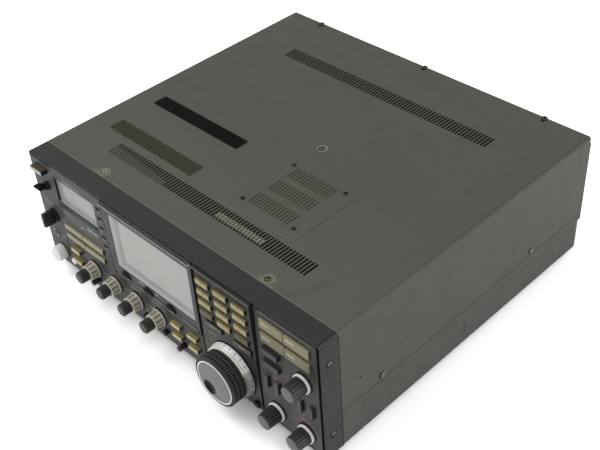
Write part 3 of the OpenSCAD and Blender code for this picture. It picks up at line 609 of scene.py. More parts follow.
def skirt_metal(name, colour, shade_colour):
    """Bright metal of the dial's skirt, with painted shade making its lower right side darker."""
    look = surface(name, colour, rough=0.3, grain=0.25, depth=0.005, metal=SKIRT_METAL, tint=0.03,
                   stretch=(1, 30, 1))
    axes = look.axes()
    aside = look.math("SUBTRACT", look.math("DIVIDE", axes["X"], 1 / SKIRT_SHADE_X),
                      look.math("DIVIDE", axes["Z"], 1 / SKIRT_SHADE_Z))
    middle = SKIRT_SHADE_X * (FRONT_X + DIAL_X) - SKIRT_SHADE_Z * (SKIRT_LOW.z + SKIRT_HIGH.z) / 2
    skirt_shade = look.span(aside, (middle + SKIRT_SHADE_FROM) * MM, (middle + SKIRT_SHADE_TO) * MM)
    look.paint(look.mix(skirt_shade, look.tone, srgb(*shade_colour)))


cover_paint()
keypad_panel_plastic()
main_panel_plastic()
clear_lens()
# The second colour of each skirt part is its painted shade
skirt_metal("silver_skirt", (254, 255, 255), (172, 173, 166))
skirt_metal("skirt_rim", (255, 252, 232), (146, 145, 132))


# Meshes

class Shape:
    """A mesh in the making, whose points a placing function puts into the frame."""

    def __init__(self, place=on_front):
        self.bm = bmesh.new()
        self.place = place

    def loft(self, rings, ends=True, loop=False, tone=None):
        """Joins rings of equally many points, with end caps or as a closed loop; tone picks a face's look."""
        made = [[self.bm.verts.new(self.place(*p)) for p in ring] for ring in rings]
        for step, (a, b) in enumerate(zip(made, made[1:] + made[:1] if loop else made[1:])):
            for i in range(len(a)):
                j = (i + 1) % len(a)
                face = self.bm.faces.new((a[i], a[j], b[j], b[i]))
                face.material_index = tone(step, i) if tone else 0
        if ends and not loop:
            self.bm.faces.new(made[0][::-1])
            self.bm.faces.new(made[-1])
        return made

    def block(self, u0, u1, v0, v1, h0, h1):
        outline = [(u1, v0), (u1, v1), (u0, v1), (u0, v0)]
        self.loft([level(outline, h0), level(outline, h1)])

    def pillow(self, outline, h0, h1, edge):
        """Solid on an outline from h0 to h1, its far edge rounded."""
        rings = [level(outline, h0)]
        rings += [level(inset(outline, inward), h1 - edge + rise) for inward, rise in round_over(edge)]
        self.loft(rings)

    def lathe(self, u, v, profile, steps=48, wave=None, loop=False, groove_from=None):
        """Turned solid: profile points are radius, height and how deep the wave cuts there.

        Faces whose cut is deeper than groove_from take the second look, which paints shade in the grooves."""
        def is_cut(k):
            point = profile[k % len(profile)]
            return len(point) > 2 and point[2] > 0

        def tone(step, i):
            return int(is_cut(step) and is_cut(step + 1) and wave(i) + wave(i + 1) > groove_from)

        rings = []
        for r, h, *cut in profile:
            ring = []
            for i in range(steps):
                a = 2 * math.pi * i / steps
                radius = r - (cut[0] * wave(i) if cut else 0)
                ring.append((u + radius * math.cos(a), v + radius * math.sin(a), h))
            rings.append(ring)
        self.loft(rings, loop=loop, tone=None if groove_from is None else tone)

    def by_side(self):
        """Gives faces that look forward or left look 0, upward look 1, right or downward look 2: upper faces
        are painted as light falls on them, and right or lower faces take painted shade.
        """
        self.bm.normal_update()
        bmesh.ops.recalc_face_normals(self.bm, faces=self.bm.faces)
        for face in self.bm.faces:
            n = face.normal
            face.material_index = 2 if n.x > 0.6 or n.z < -0.6 else 1 if n.z > 0.6 else 0

    def bar(self, u0, v0, u1, v1, width, h0, h1):
        """Straight stroke of a given width between two places."""
        along = Vector((u1 - u0, v1 - v0)).normalized() * width / 2
        side = Vector((-along.y, along.x))
        outline = [(u0 - side.x, v0 - side.y), (u1 - side.x, v1 - side.y),
                   (u1 + side.x, v1 + side.y), (u0 + side.x, v0 + side.y)]
        self.loft([level(outline, h0), level(outline, h1)])

    def screw(self, u, v, r, h, base=0.0, turn=0.3, steps=24):
        """Pan head with a cross recess."""
        profile = [(r * 0.97, base), (r, base + 0.2 * h), (r, base + 0.5 * h), (r * 0.93, base + 0.8 * h),
                   (r * 0.8, base + 0.95 * h), (r * 0.68, base + h)]
        rings = [level(circle(u, v, radius, steps), height) for radius, height in profile]
        made = self.loft(rings, ends=False)
        self.bm.faces.new(made[0][::-1])
        cross = []
        for depth, scale in ((0.0, 1.0), (0.6 * h, 0.6)):
            arm, half = 0.56 * r * scale, 0.13 * r
            points = []
            for quarter in range(4):
                a = turn + quarter * math.pi / 2
                for x, y in ((arm, -half), (arm, half), (half, half)):
                    points.append((u + x * math.cos(a) - y * math.sin(a),
                                   v + x * math.sin(a) + y * math.cos(a), base + h - depth))
            cross.append(points)
        walls = self.loft(cross, ends=False)
        self.bm.faces.new(walls[1])
        borders = []
        for ring in (made[-1], walls[0]):
            borders += [self.bm.edges.get(pair) for pair in zip(ring, ring[1:] + ring[:1])]
        bmesh.ops.triangle_fill(self.bm, use_beauty=True, edges=borders)

    def piece(self, name, looks, body="case", slot=None, node=None, edge=0.0, sharp=40):
        """Turns the mesh into a named piece that rides on a body."""
        bmesh.ops.recalc_face_normals(self.bm, faces=self.bm.faces)
        mesh = bpy.data.meshes.new(name)
        self.bm.to_mesh(mesh)
        self.bm.free()
        return dressed(name, mesh, looks, body, slot, node, edge, sharp)


def dressed(name, mesh, looks, body="case", slot=None, node=None, edge=0.0, sharp=40):
    """Makes the object of a mesh, with its looks and its soft edges, on its body; the slot is not used."""
    for look in [looks] if isinstance(looks, str) else looks:
        mesh.materials.append(LOOKS[look])
    mesh.shade_smooth()
    mesh.set_sharp_from_angle(angle=math.radians(sharp))
    obj = bpy.data.objects.new(name, mesh)
    bpy.context.scene.collection.objects.link(obj)
    if edge:
        soften(obj, edge)
    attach(obj, body)
    if node:
        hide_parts(node)
    return obj


def soften(obj, edge):
    """Rounds the sharp edges of an object by modifiers."""
    bevel = obj.modifiers.new("edges", "BEVEL")
    bevel.width = edge * MM
    bevel.segments = 2
    bevel.limit_method = "ANGLE"
    bevel.angle_limit = math.radians(40)
    weighted = obj.modifiers.new("normals", "WEIGHTED_NORMAL")
    weighted.keep_sharp = True


def blocks(name, looks, sizes, place=on_front, sided=False, **rides):
    """Piece of plain blocks; a sided one has a look for each way its faces look."""
    shape = Shape(place)
    for size in sizes:
        shape.block(*size)
    if sided:
        shape.by_side()
    shape.piece(name, looks, **rides)


def bars(name, look, lines, place=on_front, **rides):
    """Piece of straight strokes."""
    shape = Shape(place)
    for line in lines:
        shape.bar(*line)
    shape.piece(name, look, **rides)


def turned(name, look, spots, profile, steps=48, ring=True, place=on_front, **rides):
    """Piece of equal turned solids; the profile of a ring closes on itself."""
    shape = Shape(place)
    for u, v in spots:
        shape.lathe(u, v, profile, steps, loop=ring)
    shape.piece(name, look, **rides)


def pillows(name, look, outlines, low, high, edge, **rides):
    """Piece of flat solids with rounded front edges."""
    shape = Shape()
    for outline in outlines:
        shape.pillow(outline, low, high, edge)
    shape.piece(name, look, **rides)


def lofted(name, look, rings, ring=True, place=on_front, **rides):
    """Piece that runs through outlines, each at its height; a ring closes on itself."""
    shape = Shape(place)
    shape.loft([level(outline, h) for outline, h in rings], loop=ring)
    shape.piece(name, look, **rides)


def curve_mesh(name, curve, loops, closed):
    """Mesh of a curve that runs along loops of points."""
    for loop in loops:
        spline = curve.splines.new("POLY")
        spline.points.add(len(loop) - 1)
        for point, place in zip(spline.points, loop):
            point.co = (*place, 1)
        spline.use_cyclic_u = closed
    source = bpy.data.objects.new(name + "_path", curve)
    mesh = bpy.data.meshes.new_from_object(source)
    bpy.data.objects.remove(source)
    return mesh


def plate(name, outline, holes, low, high, looks, edge=0.3, body="case", slot=None, node=None):
    """Flat plate with holes and rounded edges; a second look paints shade on edges that face right."""
    curve = bpy.data.curves.new(name, "CURVE")
    curve.dimensions = "2D"
    curve.fill_mode = "BOTH"
    curve.extrude = (high - low) / 2 - edge
    curve.bevel_depth = edge
    curve.bevel_resolution = 2
    curve.offset = -edge
    mesh = curve_mesh(name, curve, [level(loop, 0) for loop in (outline, *holes)], closed=True)
    shape = Shape()
    shape.bm.from_mesh(mesh)
    bpy.data.meshes.remove(mesh)
    bmesh.ops.remove_doubles(shape.bm, verts=shape.bm.verts, dist=1e-4)
    middle = (low + high) / 2
    for vert in shape.bm.verts:
        vert.co = on_front(vert.co.x, vert.co.y, middle + vert.co.z)
    shape.bm.normal_update()
    bmesh.ops.recalc_face_normals(shape.bm, faces=shape.bm.faces)
    # edges that face right take the second look, painted shade
    for face in shape.bm.faces:
        face.material_index = 1 if isinstance(looks, list) and face.normal.x > 0.6 else 0
    shape.piece(name, looks, body, slot, node, sharp=30)


def wire(name, path, radius, look, place, slot):
    """Thin round trim along a path."""
    curve = bpy.data.curves.new(name, "CURVE")
    curve.dimensions = "3D"
    curve.bevel_depth = radius * MM
    curve.bevel_resolution = 2
    curve.use_fill_caps = True
    dressed(name, curve_mesh(name, curve, [[place(*p) for p in path]], closed=False), look, slot=slot)


# CAD nodes that stay as they are, with a finish

KEPT_NODES = {"top_cover": "cover_paint", "bottom_cover": "lower_paint", "chassis": "chassis_steel",
              "speaker": "speaker_frame", "main_board": "board_laminate", "power_supply": "shield_steel",
              "control_board": "board_laminate", "rotary_controls": "control_metal",
              "display_tube": "tube_glass", "meter_case": "black_plastic", "rear_panel": "rear_paint",
              "heat_sink": "sink_aluminium", "rear_sockets": "socket_metal", "fan_frame": "black_plastic",
              "fan_rotor": "black_gloss"}


def kept_nodes():
    for node, look in KEPT_NODES.items():
        materials = frame["nodes"][node].data.materials
        materials.clear()
        materials.append(LOOKS[look])


# Cabinet

SPEAKER_X, SPEAKER_Y = 53.3, 105.5
SPEAKER_HALF = 35.2
SEAM_Z = 42.0
REAR_FOLD_T = 1.4
VENT_COUNT, VENT_PITCH, VENT_W, VENT_X = 72, 4.04, 1.9, -3.0
FRONT_VENT = (31.0, 49.4)
REAR_VENT = (COVER_D - 82.6, COVER_D - 63.8)
GRILLE_COUNT, GRILLE_SHIFT = 14, -1.3
GRILLE_ROWS = (-26.4, 0.0, 25.6)
GRILLE_HALF = 8.98
BRACKET_TO = 0.3
SHIELD_FROM, SHIELD_TO = 0.57, 0.79

TOP_SCREWS = [(-121, 7.3), (121, 7.3), (19, COVER_D * 0.486)]
REAR_SCREWS = [(x, COVER_D - 1.6) for x in (-165, -2.5, 158)]
SPEAKER_SCREWS = [(SPEAKER_X + i * SPEAKER_HALF, SPEAKER_Y + j * SPEAKER_HALF)
                  for i in (-1, 1) for j in (-1, 1)]
SIDE_SCREWS = [(53, 48), (COVER_D * 0.76, 48)]
FRAME_SCREWS = [(-FRAME_D / 2, 23.8), (-FRAME_D / 2, 114)]

# Screws: name, placing, spots, radius, height, base and look
SCREW_GROUPS = [("left_top_screw", on_top, TOP_SCREWS[:1], 3.0, 1.0, 0.0, "screw_pale"),
                ("top_screws", on_top, TOP_SCREWS[1:], 3.3, 1.0, 0.0, "screw_olive"),
                ("rear_edge_screws", on_top, REAR_SCREWS, 3.4, 2.2, 0.0, "screw_dark"),
                ("speaker_screws", on_top, SPEAKER_SCREWS, 2.5, 1.0, 0.0, "screw_black"),
                ("right_side_screws", on_right, SIDE_SCREWS, 2.9, 1.7, 0.0, "screw_bright"),
                ("left_side_screws", on_left, SIDE_SCREWS, 2.9, 1.7, 0.0, "screw_bright"),
                ("right_frame_screws", on_right, FRAME_SCREWS, 2.4, 0.8, -0.3, "frame_screw"),
                ("left_frame_screws", on_left, FRAME_SCREWS, 2.4, 0.8, -0.3, "frame_screw")]
# Radii of the dark discs of painted shade in the recesses of the top screws
TOP_RECESS_R = (1.1, 1.7, 1.7)

# Turned profiles: radius and height
DIMPLE = [(3.2, -0.2), (3.2, 0.04), (4.3, 0.14), (5.4, 0.14), (6.0, 0.05), (6.2, -0.2)]
# Dark rings of painted shadow, set off to one side of the screw heads
TOP_SCREW_SHADOW = [(3.0, 0.0), (3.0, 0.2), (3.5, 0.26), (3.9, 0.2), (3.9, 0.0)]
FRAME_SCREW_SHADOW = [(2.4, -0.5), (2.4, 0.06), (3.2, 0.16), (4.3, 0.16), (4.5, -0.4)]
SIDE_SCREW_SHADOW = [(2.6, -0.3), (2.6, 0.06), (3.0, 0.12), (3.8, 0.12), (4.0, -0.3)]
SIDE_PLUG = [(1.5, -0.4), (1.5, 0.03), (1.2, 0.05)]
FOOT = [(8.5, 1.2), (8.8, 0.6), (11.3, 0.6), (12.0, 0.0), (12.6, 0.3), (13.3, 3.0), (13.9, FRAME_LOW.z - 0.6),
        (13.6, FRAME_LOW.z)]
FEET_AT = [(x, y) for x in (-165, 165) for y in (35, COVER_D - 40)]


def cabinet():
    cover_edge()
    screws()
    hook_strip()
    adhesive_patch()
    scratches()
    seams()
    vents()
    cover_end()
    frame_lines()
    turned("rubber_feet", "foot_rubber", FEET_AT, FOOT, 40, ring=False, place=on_floor, slot="foot_rubber",
           node="feet")


def cover_edge():
    """Rubbed front edge of the top cover, where the sheet shows pale."""
    turns = [math.radians(a) for a in range(15, 91, 15)]
    arc = [(FOLD_R * (math.cos(a) - 1), FOLD_R * (math.sin(a) - 1)) for a in turns]
    path = [(RIGHT_X + u, 0.35, h - 0.05) for u, h in arc]
    path += [(LEFT_X - u, 0.35, h - 0.05) for u, h in reversed(arc)]
    wire("cover_front_edge", path, 0.26, "cover_rim", on_top, "cover_paint")


def screws():
    """Screws of the covers and the frame, with the dimples round them and painted shade: dark rings set off
    beside the heads, dark discs in the top screws' recesses and dark strokes across the frame screws.
    """
    for name, place, spots, r, h, base, look in SCREW_GROUPS:
        shape = Shape(place)
        for i, (u, v) in enumerate(spots):
            shape.screw(u, v, r, h, base, turn=0.35 + 0.9 * i)
        shape.piece(name, look, slot="screw_steel", node="case_screws", sharp=35)
    turned("screw_dimples", "dimple", TOP_SCREWS, DIMPLE, 36, place=on_top, slot="cover_paint")
    screw_shade = Shape(on_top)
    # dark rings of painted shadow beside the top screws
    for x, y in TOP_SCREWS:
        screw_shade.lathe(x - 0.3, y - 0.4, TOP_SCREW_SHADOW, 36, loop=True)
    # dark discs of painted shade in the recesses of the top screws
    for (x, y), r in zip(TOP_SCREWS, TOP_RECESS_R):
        screw_shade.lathe(x, y, [(r, 0.6), (r, 1.02), (r - 0.4, 1.04)], 20)
    screw_shade.piece("screw_shadows", "deep_black", slot="cover_paint")
    for side, place in SIDES:
        shade_rings = Shape(place)
        for y, z in FRAME_SCREWS:
            shade_rings.lathe(y - 0.4, z - 0.3, FRAME_SCREW_SHADOW, 32, loop=True)
            # dark stroke of painted shade across the head
            shade_rings.bar(y - 0.2, z - 1.2, y + 0.2, z + 1.2, 0.9, 0.3, 0.56)
        for y, z in SIDE_SCREWS:
            shade_rings.lathe(y - 0.9, z, SIDE_SCREW_SHADOW, 32, loop=True)
        shade_rings.piece(side + "_screw_shadows", "deep_black", slot="frame_plastic")
    turned("side_plug", "deep_black", [(24.8, 67.8)], SIDE_PLUG, 20, ring=False, place=on_right,
           slot="cover_paint")


def hook_strip():
    """Strip of hook tape: a woven base with rows of small hooks, and a line of glue in front."""
    low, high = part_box("hook_strip")
    x0, x1 = low.x / MM - FRONT_X, high.x / MM - FRONT_X
    y0, y1 = low.y / MM - COVER_Y, high.y / MM - COVER_Y
    tall = (high.z - low.z) / MM
    base = Shape(on_top)
    base.pillow(rounded(x0, x1, y0, y1, 1.5), 0.0, 0.9, 0.3)
    base.piece("hook_tape", "hook_fabric", slot="hook_fabric", node="hook_strip")
    bars("tape_glue", "scribe", [(x0 + 1.0, y0 - 1.3, x1 - 1.0, y0 - 1.3, 0.6, -0.05, 0.15)], on_top,
         slot="cover_paint")
    rng = random.Random(7)
    hooks = Shape(on_top)
    across, along = 10, 76
    for i in range(along):
        for j in range(across):
            x = x0 + 1.4 + (x1 - x0 - 2.8) * i / (along - 1) + rng.uniform(-0.15, 0.15)
            y = y0 + 1.3 + (y1 - y0 - 2.6) * j / (across - 1) + rng.uniform(-0.15, 0.15)
            lean = 0.35 if j % 2 else -0.35
            top = tall - rng.uniform(0.05, 0.4)
            stations = ((0.0, 0.32, 0.8), (0.0, 0.26, top - 0.5), (lean, 0.3, top - 0.1),
                        (lean * 1.6, 0.16, top))
            hooks.loft([level(circle(x + shift, y, r, 6), h) for shift, r, h in stations])
    hooks.piece("hook_pins", "hook_fabric", slot="hook_fabric")


def adhesive_patch():
    """Rest of an old strip: a thin, ragged, speckled layer."""
    x0, x1, y0, y1 = -184.0, -48.5, 59.7, 78.8
    cell = 1.0
    gaps = (0.3, 0.1, 0.06, 0.06)
    rng = random.Random(3)
    columns, rows = int((x1 - x0) / cell), int((y1 - y0) / cell)
    shape = Shape(on_top)
    verts = {}

    def corner(i, j):
        if (i, j) not in verts:
            edge = i in (0, columns) or j in (0, rows)
            wobble = 0.5 if edge else 0.2
            verts[i, j] = shape.bm.verts.new(on_top(x0 + i * cell + rng.uniform(-wobble, wobble),
                                                    y0 + j * cell + rng.uniform(-wobble, wobble),
                                                    0.06 + rng.uniform(0.0, 0.22)))
        return verts[i, j]

    for i in range(columns):
        for j in range(rows):
            border = min(i, j, columns - 1 - i, rows - 1 - j)
            if rng.random() < gaps[min(border, 3)]:
                continue
            shape.bm.faces.new((corner(i, j), corner(i + 1, j), corner(i + 1, j + 1), corner(i, j + 1)))
    patch = shape.piece("adhesive_patch", "adhesive", slot="cover_paint", sharp=60)
    thick = patch.modifiers.new("thick", "SOLIDIFY")
    thick.thickness = 0.15 * MM
    thick.offset = -1


def scratches():
    """A pale and a dark line beside the speaker, and a short scuff on the right side."""
    bars("pale_scratch", "scribe", [(101.5, 58, 7.8, 54, 0.35, -0.02, 0.04)], on_top, slot="cover_paint")
    bars("dark_scratch", "dark_scratch", [(102.2, 59, 101.5, 148, 0.7, -0.02, 0.04)], on_top,
         slot="cover_paint")
    scuffs = [(176.2, 23.3, 175.2, 18.5, 1.1, -0.02, 0.06), (175.0, 17.5, 175.3, 11.5, 1.0, -0.02, 0.06)]
    bars("side_scuff", "dark_scratch", scuffs, on_right, slot="cover_paint")


def seams():
    """Dark joints where the top cover meets the bottom cover."""
    joint = (1.0, SEAM_Z - 0.3, COVER_D - 1.0, SEAM_Z - 0.3, 0.7, -0.5, 0.02)
    for side, place in SIDES:
        bars(side + "_seam", "matte_black", [joint], place, slot="cover_paint")


def vents():
    """What shows in the slots: painted shade filling them and along their edges, paler parts behind the front
    vent, and cloth over the speaker.
    """
    half = VENT_W / 2 - 0.02
    deep, near_top = -0.3, -0.15
    shade_w, shade_h = 0.28, 0.03
    dark, pale, olive, cloth, rims = (Shape(on_top) for _ in range(5))
    for i in range(VENT_COUNT):
        share = i / (VENT_COUNT - 1)
        x = VENT_X + (i - (VENT_COUNT - 1) / 2) * VENT_PITCH
        for y0, y1 in (FRONT_VENT, REAR_VENT):
            # black fill of painted shade inside the slot
            dark.block(x - half, x + half, y0 + 0.02, y1 - 0.02, -SHEET_T, deep)
            # dark strips of painted shade along both edges of the slot
            for side in (-1, 1):
                edge_x = x + side * (VENT_W + shade_w) / 2
                rims.bar(edge_x, y0, edge_x, y1, shade_w, -0.05, shade_h)
        front = FRONT_VENT[0]
        if share < BRACKET_TO:
            olive.block(x - half + 0.75, x + half, front + 0.1, front + 13.0 - 20.0 * share, deep, near_top)
        elif SHIELD_FROM < share < SHIELD_TO:
            pale.block(x - half, x + half, front + 3.2, front + 10.4, deep, near_top)
    for row in GRILLE_ROWS:
        y = SPEAKER_Y + row
        for i in range(GRILLE_COUNT):
            x = SPEAKER_X + GRILLE_SHIFT + (i - (GRILLE_COUNT - 1) / 2) * VENT_PITCH
            cloth.block(x - half, x + half, y - GRILLE_HALF, y + GRILLE_HALF, -SHEET_T, near_top)
    dark.piece("vent_shade", "slot_black", slot="chassis_steel")
    rims.piece("vent_edge_shade", "matte_black", slot="cover_paint")
    pale.piece("inner_shield", "inner_shield", slot="chassis_steel")
    olive.piece("inner_bracket", "inner_olive", slot="chassis_steel")
    cloth.piece("speaker_cloth", "dust_cloth", slot="speaker_frame")


def cover_end():
    """Folded rear end of the top cover, a little past its sheet."""
    def behind(x, z, h):
        return Vector((x, COVER_Y + COVER_D + h, BASE_Z + z)) * MM

    def arch(inward):
        r = FOLD_R - inward
        turns = [math.radians(a) for a in range(0, 91, 15)]
        fold = [(HALF_W - FOLD_R + r * math.cos(a), HEIGHT - FOLD_R + r * math.sin(a)) for a in turns]
        half = [(HALF_W - inward, SEAM_Z + 0.5)] + fold
        return half + [(-x, z) for x, z in reversed(half)]

    outline = arch(0.02) + arch(1.3)[::-1]
    rings = ((outline, 0.0), (outline, REAR_FOLD_T))
    lofted("cover_rear_fold", "cover_paint", rings, ring=False, place=behind, slot="cover_paint")


def frame_lines():
    """Dark lines of painted shade at both borders of the frame's right fold, and a dark joint where the
    covers meet the frame.
    """
    inner = FOLD_R + 0.5
    fold_x, fold_z = RIGHT_X - inner, HEIGHT - inner
    # painted shade along the fold's border on the top
    bars("fold_shade_top", "matte_black", [(fold_x, 0.8 - FRAME_D, fold_x, -0.2, 0.6, -0.05, 0.02)], on_top,
         slot="frame_plastic")
    # painted shade along the fold's border on the side, then the dark joint with the cover
    beside = [(0.8 - FRAME_D, fold_z, -0.2, fold_z, 0.6, -0.05, 0.02),
              (0.0, 1.0 - DROP, 0.0, fold_z, 0.7, -0.05, 0.03)]
    bars("fold_shade_and_joint_side", "matte_black", beside, on_right, slot="frame_plastic")


# Front frame and panels

LEDGE_P = -PANEL_T
BARS_P = -PANEL_T - LEDGE_T
FRAME_WALL = SIDE_RIM + LEDGE_W
TOP_WALL = TOP_RIM + LEDGE_W

# Rings of the frame: left, right and upper inset, foot, height, corner radius and look up to the next ring,
# where look 1 is painted shade in the gap round the panels
FRAME_RINGS = [(0.0, 0.0, 0.0, -DROP, -FRAME_D, FOLD_R, 0),
               (0.0, 0.0, 0.0, -DROP, -LOW_BEVEL, FOLD_R, 0),
               (0.0, 0.0, 0.0, LOW_BEVEL - DROP - 0.4, -0.4, FOLD_R, 0),
               (0.2, 0.3, 0.4, LOW_BEVEL - DROP, 0.0, FOLD_R - 0.4, 0),
               (0.3, RIGHT_LIP - 0.1, LIP_W - 0.3, -0.3, 0.0, 1.8, 0),
               (LEFT_LIP, RIGHT_LIP, LIP_W, 0.0, -0.3, 1.5, 1),
               (LEFT_LIP, RIGHT_LIP, LIP_W, 0.0, LEDGE_P, 1.5, 1),
               (FRAME_WALL, FRAME_WALL, TOP_WALL, LEDGE_W, LEDGE_P, 0.6, 1),
               (FRAME_WALL, FRAME_WALL, TOP_WALL, LEDGE_W, BARS_P, 0.6, 0),
               (SIDE_RIM, SIDE_RIM, TOP_RIM, 0.0, BARS_P, 0.6, 0),
               (SIDE_RIM, SIDE_RIM, TOP_RIM, 0.0, -FRAME_D, 0.6, 0)]

# Bars of the frame behind the gaps of the panels, painted black as shade in the gaps: left, right, foot and
# top
PANEL_BARS = [(MID_LEFT - 3.7, MID_LEFT + 3.1, MID_LOW + 2.4, OPEN_TOP),
              (MID_LEFT - 3.7, PAD.x0, MID_LOW - 3.7, MID_LOW + 2.4),
              (MID_RIGHT - 2.2, PAD.x0 + 2.9, MID_LOW + 2.4, OPEN_TOP),
              (MID_RIGHT - 2.2, PAD.x0 + 2.9, 0.0, MID_LOW - 3.7),
              (PAD.x1 - 2.5, RIGHT.x0 + 3.5, 0.0, OPEN_TOP)]

SHAFT_HOLE_R = 4.7
DIAL_HOLE_R = 5.7
LEVER_HOLE_R = 5.3
JACK_HOLE_R = 5.0
MIC_HOLE_R = 8.3
DIAL_SEAT = [(30.9, -0.05), (30.9, 0.5), (30.4, 0.8), (7.0, 0.8), (7.0, -0.05)]
BOSS = [(10.9, -0.1), (10.9, 0.7), (10.4, BOSS_P), (4.8, BOSS_P), (4.8, -0.1)]


def face_of(box, low=KEY_LIP):
    """The part of a key that shows, without its lips."""
    return box.x0, box.x1, box.z0 + low, box.z1 - KEY_LIP


def opening(box, low=KEY_LIP):
    return drawn_in(face_of(box, low), -KEY_CLEAR, 0.4)


def front_frame():
    """Cast frame with a thin lip round the panels, a brow over the display and bars behind the gaps; the
    inner walls and ledge behind the lip and the bars are painted black as shade in the gaps, and the brow is
    painted darker as shade under the top rim.
    """
    rings = [level(rounded(LEFT_X + left, RIGHT_X - right, low, HEIGHT - top, r, 6), p)
             for left, right, top, low, p, r, look in FRAME_RINGS]
    shape = Shape()
    shape.loft(rings, loop=True, tone=lambda step, i: FRAME_RINGS[step][-1])
    shape.piece("front_frame_ring", ["frame_plastic", "deep_black"], slot="frame_plastic", node="front_frame",
                sharp=32)
    left = LEFT_X + LEFT_LIP + 0.1
    brow = (left, MID_RIGHT + 0.9, LEFT_TOP + 0.4, HEIGHT - LIP_W + 0.2, LEDGE_P, -0.02)
    blocks("front_frame_brow", "brow_plastic", [brow], slot="frame_plastic", node="front_frame", edge=0.3)
    # corner of the brow at the upper left, in the same painted shade
    corner = (left, METER_WINDOW[0] - 2.4, LEFT_TOP - 2.0, LEFT_TOP + 0.5, LEDGE_P, 0.2)
    blocks("front_frame_corner", "brow_plastic", [corner], slot="frame_plastic", edge=0.3)
    blocks("panel_bars", "deep_black", [(*bar, BARS_P, LEDGE_P) for bar in PANEL_BARS], slot="frame_plastic",
           node="front_frame")


def main_panel():
    side = MID_LEFT - 1.0
    outline = [(PANEL_LEFT, MAIN.z0), (MID_RIGHT, MAIN.z0), (MID_RIGHT, MID_LOW - PANEL_GAP),
               (side, MID_LOW - PANEL_GAP), (side, LEFT_TOP), (PANEL_LEFT, LEFT_TOP)]
    holes = [opening(node_box("mode_key_" + c)) for c in "abcd"]
    holes += [opening(b) for b in SMALL_KEYS]
    holes.append(opening(node_box("power_button")))
    holes.append(rounded(*METER_WINDOW, 0.5))
    holes += [drawn_in((x - LAMP_W, x + LAMP_W, z - LAMP_H, z + LAMP_H), -0.1, 0.3) for x, z in LAMP_SPOTS]
    holes += [circle(*button_at(b), (b.x1 - b.x0) / 2 - 0.8) for b in ROUND_BUTTONS]
    holes += [circle(*at, SHAFT_HOLE_R) for at in (*TWIN_AT, SELECTOR_AT)]
    holes += [circle(*LEVER_AT, LEVER_HOLE_R), circle(*JACK_AT, JACK_HOLE_R), circle(*MIC_AT, MIC_HOLE_R)]
    plate("main_panel_plate", outline, holes, -PANEL_T, 0.0, ["main_panel", "deep_black"],
          slot="panel_plastic", node="main_panel")


def display_bezel():
    """Frame round the display, with a clear lip along its top whose front and end carry painted highlights,
    two dark lines, the one at its left being painted shade, and small corner screws.
    """
    outline = rounded(MID_LEFT, MID_RIGHT, MID_LOW, LEFT_TOP, 0.8)
    holes = [rounded(*DISPLAY_WINDOW, 0.6)]
    holes += [half_round(x, z - KEY_CLEAR, HALF_R + KEY_CLEAR) for x, z in HALF_AT]
    plate("display_bezel_plate", outline, holes, -PANEL_T, BEZEL_P, ["bezel", "deep_black"],
          slot="bezel_plastic", node="display_bezel")
    lip = (MID_LEFT + 0.6, MID_RIGHT - 0.3, LEFT_TOP - 2.4, LEFT_TOP - 0.4, BEZEL_P - 0.3, DISPLAY_LIP_P)
    blocks("display_top_lip", ["lip_front_highlight", "clear_edge", "lip_end_highlight"], [lip], sided=True, slot="bezel_plastic",
           edge=0.3)
    low, high = BEZEL_P - 0.05, BEZEL_P + 0.03
    side_x, foot_z = MID_LEFT + 0.7, MID_LOW + 7.0
    # the line at the left is painted shade of the gap beside the bezel; the line across the foot is a dark
    # line
    lines = [(side_x, MID_LOW + 1.0, side_x, LEFT_TOP - 4.0, 0.9, low, high),
             (MID_LEFT + 14.0, foot_z, MID_RIGHT - 3.0, foot_z, 0.7, low, high)]
    bars("bezel_edge_line", "matte_black", lines, slot="bezel_plastic")
    corner = Shape()
    for x in (MID_LEFT + 3.2, MID_RIGHT - 3.0):
        for z in (MID_LOW + 3.0, LEFT_TOP - 5.5):
            corner.screw(x, z, 1.3, 0.6, BEZEL_P, steps=16)
    corner.piece("bezel_screws", "black_plastic", slot="screw_steel", sharp=35)


def display():
    """Display window: a pale mask sloping down to the glass, with a darker band of painted shade at its left
    and foot.
    """
    x0, x1, z0, z1 = DISPLAY_WINDOW
    left, right, low, top = x0 + 6.3, x1 - 1.2, z0 + 3.4, z1 - 0.8
    front, deep, back = BEZEL_P - 0.2, 0.3, FILTER.back
    outer, brink = drawn_in(DISPLAY_WINDOW, 0.02, 0.6), drawn_in(DISPLAY_WINDOW, 0.5, 0.5)
    inner = rounded(left, right, low, top, 0.4)
    rings = ((outer, back), (outer, front), (brink, front), (inner, deep), (inner, back))
    lofted("display_mask", "screen_mask", rings, slot="filter_glass", node="display_filter")
    gx0, gx1, gz0, gz1 = left + 0.02, right - 0.02, low + 0.02, top - 0.02
    blocks("display_glass", "screen", [(gx0, gx1, gz0, gz1, back, deep - 0.1)], slot="filter_glass",
           node="display_filter")
    # band of painted shade along the screen's left side and foot
    side_w, foot_w = 6.0, 7.2
    band = [(gx0 + 0.1, gx0 + side_w, gz0 + 0.1, gz1 - 0.1, deep - 0.2, deep + 0.05),
            (gx0 + side_w, gx1 - 0.1, gz0 + 0.1, gz0 + foot_w, deep - 0.2, deep + 0.05)]
    blocks("display_shade_band", "screen_band", band, slot="filter_glass")


